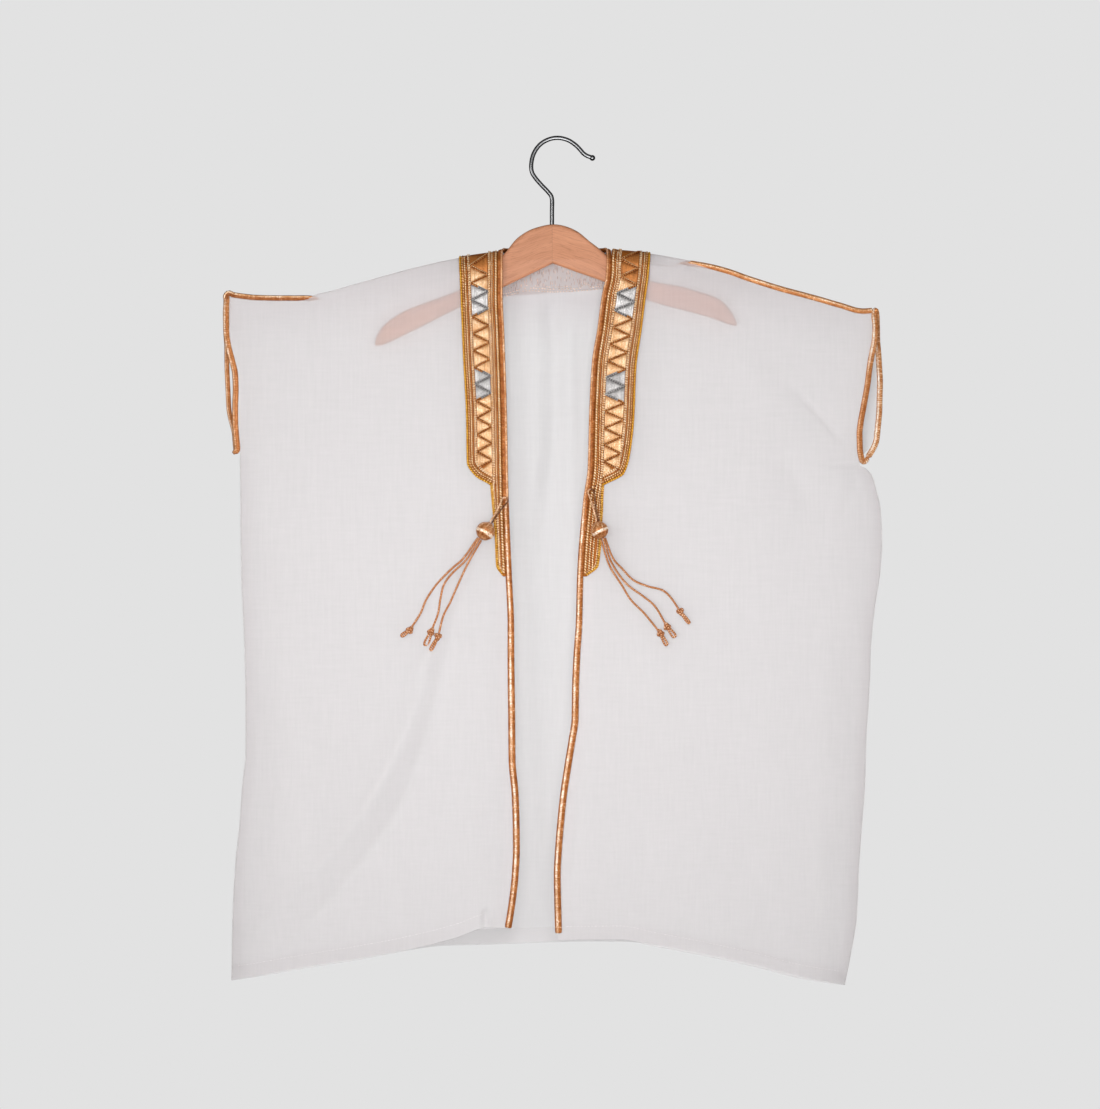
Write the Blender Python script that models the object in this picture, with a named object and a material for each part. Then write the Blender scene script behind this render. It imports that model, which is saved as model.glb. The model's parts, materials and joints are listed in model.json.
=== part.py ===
"""A child's bisht cloak hanging on a small wooden clothes hanger.

The cloak is cut as one back panel and two front panels. A stiff embroidered
band runs down both front edges and round the back of the neck, a narrower band
carries on below it, braided piping edges the fronts, the neck, the shoulder
seams and the two hand openings, and a tassel hangs on a beaded loop at each
side. The cloak hangs in the plane Y = 0 with its fronts towards -Y, and its
origin is the inside of the hook's crown. All tables are in millimetres.
"""

import math

import bmesh
import bpy
import numpy as np

MM = 0.001

# ---------------------------------------------------------------- dimensions
CLOTH = 1.2  # wall of the cloak's cloth
BAND = 1.2  # wall of the embroidered bands
SEAM = 0.3  # gap between pieces that are sewn together
EDGE_BRAID = (6.0, 2.8)  # width and thickness of the braid on the front edges
CUFF_BRAID = (5.4, 2.4)  # the same round the hand openings
SHOULDER_BRAID = (5.0, 2.4)  # the same along the shoulder seams
WOOD = 10.0  # thickness of the hanger's body
WOOD_ROUND = 2.8  # rounding of the hanger's edges
WIRE = 3.7  # diameter of the hook's wire
WIRE_BALL = 5.0  # diameter of the ball on the hook's tip
HOOK_HOLE = 12.0  # depth of the hole that takes the hook's shank
CORD = 2.0  # diameter of a tassel's cord
LOOP_CORD = 1.2  # diameter of the cord of a tassel's loop
LOOP_HALF = 2.5  # half the loop's width, which is the radius of its turn
SEAM_Y = 0.75  # each panel's middle, off the plane Y = 0, where two are sewn
CUFF_Y = 1.5  # the same at both ends of a hand opening
CUFF_GAPE = 4.6  # how much further each edge of a hand opening stands away
CUFF_SHARE = 0.235  # share of a panel's side that is the hand opening

# ---------------------------------------------------------------- outlines
# Upper outline of the shoulders, from the neck out to the hand opening.
SHOULDER = {
    # columns: x, z
    "L": [(-46.8, -94.3), (-84.0, -99.9), (-122.5, -108.4), (-167.5, -120.7), (-203.0, -130.2),
          (-214.0, -131.9), (-236.5, -132.1), (-256.0, -131.7), (-272.0, -130.0), (-283.0, -128.0)],
    "R": [(43.0, -93.1), (78.5, -96.3), (112.0, -102.2), (127.0, -104.8), (144.0, -109.2),
          (161.0, -115.2), (189.0, -124.1), (219.0, -132.2), (241.0, -138.6), (259.0, -143.2), (275.0, -141.8)],
}
# Side edge of the panels: the hand opening first, then the side seam.
SIDE = {
    # columns: z, x of the front panel, x of the back panel
    "L": [(-131, -278.4, -279.0), (-147, -279.3, -279.3), (-163, -278.9, -279.3), (-177, -276.7, -278.6),
          (-187, -274.0, -278.0), (-200, -271.2, -277.4), (-212, -270.8, -276.8), (-228, -271.3, -276.0),
          (-240, -271.3, -274.8), (-250, -270.7, -272.8), (-263, -269.8, -271.4), (-268, -270.3, -270.3),
          (-309, -269.9, -269.9), (-372, -269.1, -269.1), (-419, -266.9, -266.9), (-477, -265.5, -265.5),
          (-520, -265.5, -265.5), (-546, -268.0, -268.0), (-581, -270.6, -270.6), (-615, -274.1, -274.1),
          (-668, -276.8, -276.8), (-714, -277.4, -277.4)],
    "R": [(-144, 265.0, 267.8), (-158, 266.8, 268.5), (-170, 266.2, 268.8), (-181, 264.0, 269.8),
          (-194, 261.7, 270.7), (-206, 260.2, 271.3), (-218, 258.2, 271.0), (-230, 256.0, 270.7),
          (-243, 253.8, 269.5), (-253, 253.0, 268.2), (-262, 253.3, 264.4), (-270, 254.6, 257.8),
          (-276.5, 256.5, 256.5), (-279.5, 262.0, 262.0), (-285, 266.6, 266.6), (-297, 270.3, 270.3),
          (-314, 274.0, 274.0), (-341, 275.3, 275.3), (-365, 274.0, 274.0), (-396, 269.4, 269.4),
          (-428, 266.1, 266.1), (-467, 264.6, 264.6), (-512, 261.8, 261.8), (-546, 260.9, 260.9),
          (-581, 258.4, 258.4), (-616, 255.8, 255.8), (-659, 253.9, 253.9), (-695, 248.2, 248.2),
          (-718, 243.6, 243.6)],
}
SIDE_SEAM_TOP = {"L": -268.0, "R": -279.5}  # where the hand opening ends
# Finished front edges, down to the end of the braid.
FRONT_EDGE = {
    # columns: z, x
    "L": [(-94, -46.8), (-133, -46.8), (-161, -45.5), (-236, -43.0), (-298, -41.8), (-371, -38.8),
          (-411, -36.9), (-444, -36.7), (-482, -36.1), (-526, -35.7), (-556, -33.1), (-578, -32.3),
          (-601, -32.0), (-624, -33.1), (-647, -35.7), (-670, -39.4)],
    "R": [(-93, 43.0), (-99, 41.2), (-114, 40.6), (-133, 36.9), (-161, 33.1), (-190, 28.5), (-236, 26.1),
          (-280, 24.9), (-306, 21.2), (-371, 15.9), (-411, 14.8), (-439, 12.8), (-466, 11.6), (-492, 11.2),
          (-509, 8.8), (-533, 4.9), (-556, 1.5), (-578, -0.8), (-601, -2.7), (-624, -3.8), (-647, -3.4),
          (-680, -2.5)],
}
# Outer edge of the wide embroidered band, rounded off at its foot.
BAND_EDGE = {
    # columns: z, x
    "L": [(-100, -84.1), (-133, -82.9), (-184, -80.8), (-236, -78.2), (-274, -77.6), (-286, -70.5), (-293, -58.6)],
    "R": [(-96, 78.6), (-114, 77.3), (-133, 74.8), (-160, 71.4), (-195, 66.6), (-236, 64.9), (-268, 61.2),
          (-284, 56.1), (-294, 38.5)],
}
# Outer edge of the narrow band below it.
NARROW_EDGE = {
    # columns: z, x
    "L": [(-293, -57.8), (-340, -53.8), (-362, -52.7), (-371, -46.8)],
    "R": [(-294, 39.1), (-316, 38.1), (-362, 34.5), (-371, 24.5)],
}
# Hems. The back's runs from side to side, each front's from the side inwards.
HEM = {
    # columns: x, z
    "back": [(-277.4, -714.0), (-255.0, -711.1), (-217.0, -703.5), (-178.0, -697.7), (-136.0, -691.0),
             (-98.0, -685.9), (-60.0, -684.8), (-12.0, -683.0), (30.0, -682.0), (59.0, -682.4),
             (82.0, -684.8), (132.0, -694.0), (169.0, -702.1), (206.0, -711.4), (243.6, -718.0)],
    "L": [(-277.4, -714.0), (-217.0, -703.0), (-168.0, -695.0), (-127.5, -687.2), (-86.0, -676.6),
          (-60.0, -668.3), (-45.0, -668.8)],
    "R": [(3.0, -678.8), (52.0, -678.3), (82.0, -683.8), (132.0, -693.4), (169.0, -701.8),
          (206.0, -711.2), (243.6, -718.0)],
}
# Back neckline, behind the hanger: the upper edge of its braid.
NECK_Z = -91.2
NECK_X = (-46.0, 38.0)

# ---------------------------------------------------------------- depth
# How far each panel's middle stands from the plane Y = 0, away from the seams.
DEPTH = [
    # columns: z, front, back
    (-90, 7.4, 7.4), (-180, 7.8, 7.6), (-260, 9.2, 8.6), (-340, 10.6, 10.0), (-450, 12.6, 12.0),
    (-560, 14.6, 14.0), (-660, 16.6, 16.0), (-720, 17.4, 17.0),
]
# Width of the strip that turns in to the shoulder seam.
TOP_TURN = [
    # columns: distance from the middle, width
    (0, 10.5), (70, 10.5), (105, 25.0), (155, 27.0), (190, 40.0), (290, 40.0),
]
SIDE_TURN = 46.0  # width of the strip that turns in to the side seam
# The largest folds. Each is a soft ridge (or, if negative, a trough) that
# follows a curve through three places.
FOLDS = [
    # columns: panel, x1, z1, x2, z2, x3, z3, half width, height
    ("L", -86, -250, -100, -440, -250, -668, 24, 3.4),
    ("L", -60, -250, -72, -440, -190, -690, 24, -3.0),
    ("L", -226, -258, -228, -290, -238, -335, 20, -2.0),
    ("L", -61, -545, -55, -600, -61, -652, 12, -3.0),
    ("R", 64, -466, 72, -520, 82, -590, 18, -2.6),
    ("R", 92, -440, 104, -540, 120, -668, 26, 3.0),
    ("R", 186, -267, 202, -292, 220, -318, 18, -2.4),
    ("R", 196, -206, 222, -236, 250, -267, 12, -1.6),
    ("R", 180, -420, 196, -540, 190, -700, 30, 2.4),
    ("back", -12, -148, -7, -236, -25, -322, 16, -3.0),
    ("back", -42, -170, -36, -230, -34, -275, 14, -2.4),
    ("back", 12, -180, 12, -320, 4, -560, 20, 2.2),
    ("back", -90, -230, -118, -440, -180, -690, 28, 3.6),
    ("back", -150, -300, -190, -480, -225, -700, 26, -3.0),
    ("back", 90, -240, 120, -460, 150, -690, 28, 3.4),
    ("back", 150, -280, 190, -480, 205, -700, 26, -3.0),
]

# ---------------------------------------------------------------- net of the panels
ROWS = (0, 0.005, 0.012, 0.024, 0.058, 0.10, 0.135, 0.165, 0.19, 0.207, 0.222, CUFF_SHARE, 0.27,
        0.314, 0.333, 0.3455, 0.40, 0.465, 0.481, 0.55, 0.62, 0.69, 0.76, 0.83, 0.895, 0.955, 1.0)
BAND_FOOT = ROWS.index(0.3455)  # row at the foot of the wide band
NARROW_FOOT = ROWS.index(0.481)  # row at the foot of the narrow band
CUFF_FOOT = ROWS.index(CUFF_SHARE)
BACK_BAND_FOOT = ROWS.index(0.058)
# Where the columns between the side and the wide band stand at the shoulder.
SHOULDER_COLUMNS = {
    "L": (-257, -234, -212, -196, -168, -140, -112),
    "R": (243, 218, 194, 170, 145, 120, 104),
}
BAND_COLUMNS = 3  # across the wide band

# ---------------------------------------------------------------- hanger
# Outline of the wooden body, clockwise from its crown.
WOOD_OUTLINE = [
    # columns: x, z
    (-4.9, -71.8), (5.7, -73.2), (16.9, -78.1), (26.9, -86.2), (34.3, -91.8), (40.8, -97.6), (58.0, -110.5),
    (78.2, -119.6), (103.7, -124.4), (118.9, -128.8), (136.3, -134.9), (145.9, -144.5), (152.0, -156.5),
    (147.0, -157.2), (130.8, -151.4), (103.7, -143.9), (78.2, -136.8), (38.8, -120.4), (-4.2, -105.4),
    (-45.5, -124.6), (-84.1, -142.5), (-137.7, -169.2), (-151.0, -174.6), (-155.6, -173.6), (-152.0, -163.0),
    (-143.7, -153.8), (-128.3, -144.4), (-106.0, -136.0), (-84.1, -127.4), (-64.0, -113.0), (-46.4, -97.2),
    (-43.2, -93.9), (-35.4, -84.3), (-25.5, -77.4), (-15.5, -73.7),
]
# Middle line of the hook, from inside the wood up to its tip.
HOOK_LINE = [
    # columns: x, z
    (-5.1, -83.5), (-5.1, -62.0), (-5.2, -49.6), (-8.2, -44.4), (-14.0, -38.3), (-19.4, -32.0),
    (-22.3, -26.6), (-22.6, -19.5), (-20.6, -11.5), (-15.6, -4.2), (-8.2, 0.4), (0.0, 1.85), (8.2, 0.0),
    (14.6, -4.0), (19.2, -8.6), (21.4, -11.2), (24.2, -13.2), (27.4, -14.5), (29.2, -15.2),
]

# ---------------------------------------------------------------- tassels
BEADS = {
    # columns: x, z, diameter
    "L": (-61.4, -332.6, 15.2),
    "R": (35.2, -331.8, 14.2),
}
LOOP_START = {
    # columns: x, z of the stitch that holds the loop
    "L": (-43.6, -304.4),
    "R": (27.4, -297.0),
}
# Route of each cord, from its bead to its knot, and the end of its tail.
CORDS = {
    # columns: x, z
    "L_a": [(-67.6, -340.0), (-80.2, -355.6), (-89.6, -364.0), (-102.0, -376.6), (-111.3, -389.9),
            (-116.5, -402.1), (-122.0, -412.6)],
    "L_b": [(-66.4, -341.4), (-77.8, -356.8), (-88.6, -367.2), (-96.4, -377.4), (-99.6, -389.9),
            (-101.6, -402.3), (-104.8, -413.0)],
    "L_c": [(-64.6, -341.8), (-75.6, -358.6), (-84.2, -376.6), (-90.8, -391.8), (-97.0, -404.1),
            (-100.6, -416.4)],
    "R_a": [(40.6, -339.3), (46.4, -355.2), (54.4, -364.4), (63.8, -374.0), (75.6, -379.1),
            (88.2, -382.5), (95.6, -388.9), (101.2, -396.0)],
    "R_b": [(39.4, -340.3), (45.0, -358.6), (57.5, -376.6), (71.7, -387.4), (82.0, -396.1),
            (89.6, -408.4)],
    "R_c": [(37.6, -341.0), (43.4, -361.4), (54.2, -378.6), (61.6, -390.6), (73.4, -402.6),
            (82.4, -414.4)],
}
KNOTS = {
    # columns: x, z of the knot, x, z of the end of its tail
    "L_a": (-125.4, -416.2, -133.2, -421.8),
    "L_b": (-107.4, -417.6, -112.4, -430.0),
    "L_c": (-101.6, -421.8, -108.4, -434.2),
    "R_a": (103.7, -400.8, 111.6, -411.0),
    "R_b": (92.3, -413.2, 99.4, -422.6),
    "R_c": (86.6, -418.8, 92.4, -429.6),
}
KNOT = (5.4, 4.6)  # length and width of a knot
TAIL = 3.4  # width of the doubled tail below a knot
# Clearance between the tassels' cords and the cloth that they lie over.
CORD_OFF = {"a": 1.6, "b": 2.2, "c": 2.8}
# Where each cord leaves its bead.
CORD_LEAVES = {
    # columns: x, y, z of the direction from the bead's middle
    "L_a": (-0.75, -0.02, -0.66), "L_b": (-0.58, -0.46, -0.70), "L_c": (-0.42, -0.02, -0.90),
    "R_a": (0.58, -0.02, -0.82), "R_b": (0.38, -0.46, -0.82), "R_c": (0.14, -0.02, -0.98),
}

# ---------------------------------------------------------------- materials
MATERIALS = {
    # columns: base colour, roughness, metallic
    "voile": ((0.86, 0.84, 0.83), 0.85, 0.0),
    "zari": ((0.70, 0.36, 0.14), 0.38, 0.75),
    "zari_gold": ((0.78, 0.48, 0.20), 0.40, 0.70),
    "beech": ((0.72, 0.42, 0.28), 0.55, 0.0),
    "steel": ((0.30, 0.31, 0.32), 0.22, 1.0),
}


def smooth(table, key=0, value=1):
    """A monotone cubic through two columns of a table, as a function."""
    rows = sorted((float(row[key]), float(row[value])) for row in table)
    a = np.array([row[0] for row in rows])
    b = np.array([row[1] for row in rows])
    step = np.diff(a)
    slope = np.diff(b) / step
    grade = np.zeros(len(a))
    grade[0], grade[-1] = slope[0], slope[-1]
    for i in range(1, len(a) - 1):
        if slope[i - 1] * slope[i] > 0:
            first = 2 * step[i] + step[i - 1]
            second = step[i] + 2 * step[i - 1]
            grade[i] = (first + second) / (first / slope[i - 1] + second / slope[i])

    def at(q):
        q = min(max(float(q), a[0]), a[-1])
        i = min(int(np.searchsorted(a, q, side="right")) - 1, len(a) - 2)
        h = step[i]
        t = (q - a[i]) / h
        return float(
            (1 + 2 * t) * (1 - t) ** 2 * b[i]
            + t * (1 - t) ** 2 * h * grade[i]
            + t * t * (3 - 2 * t) * b[i + 1]
            + t * t * (t - 1) * h * grade[i + 1]
        )

    return at


def mix(a, b, t):
    return a + (b - a) * t


def ease(t):
    """0 to 1, steep at first and level at the end, as cloth leaves a seam."""
    t = min(max(t, 0.0), 1.0)
    return 1 - (1 - t) ** 2


def step_between(a, b, q):
    t = min(max((q - a) / (b - a), 0.0), 1.0)
    return t * t * (3 - 2 * t)


shoulder = {side: smooth(SHOULDER[side]) for side in "LR"}
side_x = {(side, face): smooth(SIDE[side], 0, 1 + (face == "back")) for side in "LR" for face in ("front", "back")}
front_edge = {side: smooth(FRONT_EDGE[side]) for side in "LR"}
band_edge = {side: smooth(BAND_EDGE[side]) for side in "LR"}
narrow_edge = {side: smooth(NARROW_EDGE[side]) for side in "LR"}
hem = {name: smooth(HEM[name]) for name in HEM}
depth = {"front": smooth(DEPTH, 0, 1), "back": smooth(DEPTH, 0, 2)}
top_turn = smooth(TOP_TURN)
SIGN = {"L": -1.0, "R": 1.0}
FACE = {"front": -1.0, "back": 1.0}
# Along the shoulder, the braid lies behind the fold near the neck, and further
# out it comes up to stand on the seam. Here the panels' edges sink to make room
# for it, and a little further out it has moved over onto the seam.
SINK = {"L": (-196.0, -212.0), "R": (104.0, 120.0)}
ON_SEAM = {"L": -232.0, "R": 138.0}


def seam_drop(side, x):
    """How far a panel's upper edge lies below the outline of the shoulder."""
    start, end = SINK[side]
    return mix(CLOTH / 2, SHOULDER_BRAID[0] + SEAM + CLOTH / 2, step_between(start, end, x))


def shoulder_top(side, x):
    return shoulder[side](x) - seam_drop(side, x)


def fold_height(panel, x, z):
    """Sum of the folds of one panel at a place."""
    total = 0.0
    for name, x1, z1, x2, z2, x3, z3, half, height in FOLDS:
        if name != panel:
            continue
        best, where = 1e9, 0.0
        for k in range(25):
            t = k / 24
            px = mix(mix(x1, 2 * x2 - (x1 + x3) / 2, t), mix(2 * x2 - (x1 + x3) / 2, x3, t), t)
            pz = mix(mix(z1, 2 * z2 - (z1 + z3) / 2, t), mix(2 * z2 - (z1 + z3) / 2, z3, t), t)
            gap = math.hypot(x - px, z - pz)
            if gap < best:
                best, where = gap, t
        ends = min(1.0, 0.25 + 3 * where, 0.35 + 3 * (1 - where))
        total += height * ends * math.exp(-((best / half) ** 2))
    return total


def stand_off(face, panel, x, z, below_top, from_side, edge_y, top_y):
    """Distance of a panel's middle from the plane Y = 0."""
    full = depth[face](z)
    turned = ease(from_side / SIDE_TURN)
    from_top = ease(below_top / top_turn(abs(x)))
    calm = step_between(15, 70, below_top) * step_between(6, 40, from_side)
    out = full + fold_height(panel, x, z) * calm
    return top_y * (1 - from_top) + from_top * mix(edge_y, out, turned)


def cuff_stand(share):
    """Stand-off along a hand opening, 0 at its upper end and 1 at its lower."""
    return CUFF_Y + CUFF_GAPE * math.sin(math.pi * min(max(share, 0.0), 1.0)) ** 0.9


def side_row(side, face, row):
    """x, z and stand-off of a panel's side edge at one row."""
    corner_x = side_x[side, face](-131 if side == "L" else -144)
    z_top = shoulder_top(side, corner_x)
    z_seam = SIDE_SEAM_TOP[side]
    z_foot = SIDE[side][-1][0]
    if row <= CUFF_SHARE:
        z = mix(z_top, z_seam, row / CUFF_SHARE)
        y = cuff_stand(row / CUFF_SHARE)
    else:
        share = (row - CUFF_SHARE) / (1 - CUFF_SHARE)
        z = mix(z_seam, z_foot, share)
        y = mix(CUFF_Y, SEAM_Y, step_between(0, 0.1, share))
    return side_x[side, face](z), z, y


def front_panel_net(side):
    """Points of a front panel's middle: a row for each of ROWS, from the side to the front edge."""
    s = SIGN[side]
    inset = EDGE_BRAID[0] + SEAM
    z_high = shoulder_top(side, front_edge[side](-95) + s * inset)
    z_low = hem[side](front_edge[side](-668) + s * inset)
    corner, band_top = side_row(side, "front", 0)[0], BAND_EDGE[side][0][1]
    shares = [0] + [(x - corner) / (band_top - corner) for x in SHOULDER_COLUMNS[side]] + [1]
    shares += [1 + c / BAND_COLUMNS for c in range(1, BAND_COLUMNS + 1)]

    def xs_of(row):
        side_at = side_row(side, "front", row)[0]
        z_edge = mix(z_high, z_low, row)
        edge_at = front_edge[side](z_edge) + s * inset
        foot = ROWS[BAND_FOOT - 2]
        band_row = min(row, foot)
        band_at = band_edge[side](mix(z_high, z_low, band_row))
        if row > foot:
            lean = (edge_at - front_edge[side](mix(z_high, z_low, foot)) - s * inset)
            band_at += lean * (row - foot) / (1 - foot)
        return [mix(side_at, band_at, t) if t <= 1 else mix(band_at, edge_at, t - 1) for t in shares]

    heads, feet = xs_of(0), xs_of(1)
    net = np.zeros((len(ROWS), len(shares), 3))
    for i, row in enumerate(ROWS):
        x_side, z_side, y_side = side_row(side, "front", row)
        z_foot = SIDE[side][-1][0]
        z_corner = side_row(side, "front", 0)[1]
        down_side = (z_side - z_corner) / (z_foot - z_corner)
        for j, x in enumerate(xs_of(row)):
            t = abs(x - x_side) / abs(xs_of(row)[-1] - x_side)
            down = mix(down_side, row, t)
            z_top = shoulder_top(side, heads[j])
            z = mix(z_top, hem[side](feet[j]), down)
            y = stand_off("front", side, x, z, z_top - z, abs(x - x_side), y_side,
                          mix(CUFF_Y, SEAM_Y, step_between(0, 14, abs(x - x_side))))
            net[i, j] = x, -y, z
    return net


def back_columns():
    """x of the back panel's columns at its upper edge."""
    left, right = side_row("L", "back", 0)[0], side_row("R", "back", 0)[0]
    neck_l = front_edge["L"](-95) - EDGE_BRAID[0] - SEAM
    neck_r = front_edge["R"](-94) + EDGE_BRAID[0] + SEAM
    band_l, band_r = BAND_EDGE["L"][0][1], BAND_EDGE["R"][0][1]
    xs = [left, *SHOULDER_COLUMNS["L"]]
    for a, b, count in ((band_l, neck_l, 2), (neck_l, NECK_X[0], 1), (NECK_X[0], NECK_X[1], 4),
                        (NECK_X[1], neck_r, 1), (neck_r, band_r, 2)):
        xs += [mix(a, b, k / count) for k in range(count)]
    xs += [band_r, *reversed(SHOULDER_COLUMNS["R"]), right]
    return xs, xs.index(band_l), xs.index(band_r), (neck_l, neck_r)


def back_top(x, necks):
    """z and stand-off of the back panel's upper edge."""
    if x <= necks[0]:
        return shoulder_top("L", x), SEAM_Y
    if x >= necks[1]:
        return shoulder_top("R", x), SEAM_Y
    return NECK_Z - EDGE_BRAID[0] - SEAM, depth["back"](NECK_Z)


def back_panel_net():
    """Points of the back panel's middle, from the left side to the right."""
    tops, _, _, necks = back_columns()
    left, right = tops[0], tops[-1]
    net = np.zeros((len(ROWS), len(tops), 3))
    foot_l, foot_r = SIDE["L"][-1][2], SIDE["R"][-1][2]
    for i, row in enumerate(ROWS):
        ends = [side_row(side, "back", row) for side in "LR"]
        corners = [side_row(side, "back", 0) for side in "LR"]
        down = [(e[1] - c[1]) / (SIDE[side][-1][0] - c[1]) for e, c, side in zip(ends, corners, "LR")]
        for j, top_x in enumerate(tops):
            t = (top_x - left) / (right - left)
            x = mix(ends[0][0], ends[1][0], t)
            z_top, y_top = back_top(top_x, necks)
            middle = step_between(0, 0.3, min(t, 1 - t))
            down_here = mix(mix(down[0], down[1], t), row, middle)
            z = mix(z_top, hem["back"](mix(foot_l, foot_r, t)), down_here)
            off_l, off_r = x - ends[0][0], ends[1][0] - x
            near = 0 if off_l < off_r else 1
            from_side = min(off_l, off_r)
            top_y = y_top if y_top > 2 else mix(CUFF_Y, SEAM_Y, step_between(0, 14, from_side))
            y = stand_off("back", "back", x, z, z_top - z, from_side, ends[near][2], top_y)
            net[i, j] = x, y, z
    return net


def net_normals(net, face):
    """Unit normals at a net's points, pointing away from the hollow, and the
    stretch that keeps both walls of a bent place at their full distance."""
    rows, cols = net.shape[:2]
    total = np.zeros_like(net)
    flats = [[[] for _ in range(cols)] for _ in range(rows)]
    for i in range(rows - 1):
        for j in range(cols - 1):
            a, b, c, d = net[i, j], net[i, j + 1], net[i + 1, j + 1], net[i + 1, j]
            n = np.cross(c - a, d - b)
            size = np.linalg.norm(n)
            n = n / size
            if n[1] * FACE[face] < 0:
                n = -n
            for p, q in ((i, j), (i, j + 1), (i + 1, j + 1), (i + 1, j)):
                total[p, q] += n
                flats[p][q].append(n)
    normals = total / np.linalg.norm(total, axis=2, keepdims=True)
    stretch = np.ones((rows, cols))
    for i in range(rows):
        for j in range(cols):
            lean = min(float(np.dot(normals[i, j], n)) for n in flats[i][j])
            stretch[i, j] = 1 / max(lean, 0.6)
    return normals, stretch


def material(name):
    if name in bpy.data.materials:
        return bpy.data.materials[name]
    colour, roughness, metallic = MATERIALS[name]
    made = bpy.data.materials.new(name)
    made.use_nodes = True
    shader = made.node_tree.nodes["Principled BSDF"]
    shader.inputs["Base Color"].default_value = (*colour, 1)
    shader.inputs["Roughness"].default_value = roughness
    shader.inputs["Metallic"].default_value = metallic
    return made


def add_mesh(name, points, faces, finish, parent):
    mesh = bpy.data.meshes.new(name)
    mesh.from_pydata([tuple(float(v) * MM for v in p) for p in points], [], faces)
    shape = bmesh.new()
    shape.from_mesh(mesh)
    bmesh.ops.recalc_face_normals(shape, faces=shape.faces)
    shape.to_mesh(mesh)
    shape.free()
    mesh.shade_smooth()
    mesh.set_sharp_from_angle(angle=math.radians(40))
    mesh.materials.append(material(finish))
    obj = bpy.data.objects.new(name, mesh)
    bpy.context.scene.collection.objects.link(obj)
    obj.parent = parent
    return obj


def wall(name, net, face, thickness, finish, parent, offset=0.0, normals=None, stretch=None):
    """A closed wall on a net of points, moved out by offset."""
    if normals is None:
        normals, stretch = net_normals(net, face)
    rows, cols = net.shape[:2]
    reach = normals * stretch[:, :, None]
    outer = net + reach * (offset + thickness / 2)
    inner = net + reach * (offset - thickness / 2)
    points = list(outer.reshape(-1, 3)) + list(inner.reshape(-1, 3))
    half = rows * cols

    def at(i, j, layer):
        return layer * half + i * cols + j

    faces = []
    for i in range(rows - 1):
        for j in range(cols - 1):
            for layer in (0, 1):
                quad = [at(i, j, layer), at(i, j + 1, layer), at(i + 1, j + 1, layer), at(i + 1, j, layer)]
                # One diagonal for both layers keeps the wall even where it bends.
                triangles = [(quad[0], quad[1], quad[2]), (quad[0], quad[2], quad[3])]
                faces += triangles if layer == 0 else [t[::-1] for t in triangles]
    rim = [(0, j) for j in range(cols)] + [(i, cols - 1) for i in range(1, rows)]
    rim += [(rows - 1, j) for j in range(cols - 2, -1, -1)] + [(i, 0) for i in range(rows - 2, 0, -1)]
    for (i, j), (k, m) in zip(rim, rim[1:] + rim[:1]):
        faces.append((at(i, j, 0), at(k, m, 0), at(k, m, 1), at(i, j, 1)))
    return add_mesh(name, points, faces, finish, parent)


def braid(name, path, normals, size, finish, parent, closed=False, scale=None):
    """A flat braid along a path: six-sided, its width across the path and its normal."""
    scale = scale or [1.0] * len(path)
    width, thickness = size
    path, normals = np.array(path, float), np.array(normals, float)
    count = len(path)
    points = []
    for i in range(count):
        before = path[(i - 1) % count] if closed or i else path[i]
        after = path[(i + 1) % count] if closed or i < count - 1 else path[i]
        along = (after - before) / np.linalg.norm(after - before)
        n = normals[i] - along * np.dot(normals[i], along)
        n /= np.linalg.norm(n)
        across = np.cross(along, n)
        for w, t in ((-0.5, 0), (-0.27, 0.5), (0.27, 0.5), (0.5, 0), (0.27, -0.5), (-0.27, -0.5)):
            points.append(path[i] + (across * w * width + n * t * thickness) * scale[i])
    faces = []
    for i in range(count if closed else count - 1):
        k = (i + 1) % count
        for c in range(6):
            d = (c + 1) % 6
            faces.append((i * 6 + c, i * 6 + d, k * 6 + d, k * 6 + c))
    if not closed:
        faces.append(tuple(range(6)))
        faces.append(tuple((count - 1) * 6 + c for c in range(5, -1, -1)))
    return add_mesh(name, points, faces, finish, parent)


def rod(name, path, radii, sides, finish, parent):
    """A round rod along a path, with a radius at each of its points."""
    path = np.array(path, float)
    points = []
    side = None
    for i in range(len(path)):
        before, after = path[max(i - 1, 0)], path[min(i + 1, len(path) - 1)]
        along = (after - before) / np.linalg.norm(after - before)
        if side is None:
            side = np.cross(along, (0, 1, 0) if abs(along[1]) < 0.9 else (1, 0, 0))
        side = side - along * np.dot(side, along)
        side /= np.linalg.norm(side)
        other = np.cross(along, side)
        for k in range(sides):
            a = 2 * math.pi * k / sides
            points.append(path[i] + radii[i] * (math.cos(a) * side + math.sin(a) * other))
    faces = []
    for i in range(len(path) - 1):
        for k in range(sides):
            m = (k + 1) % sides
            faces.append((i * sides + k, i * sides + m, (i + 1) * sides + m, (i + 1) * sides + k))
    faces.append(tuple(range(sides)))
    faces.append(tuple((len(path) - 1) * sides + k for k in range(sides - 1, -1, -1)))
    return add_mesh(name, points, faces, finish, parent)


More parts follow.
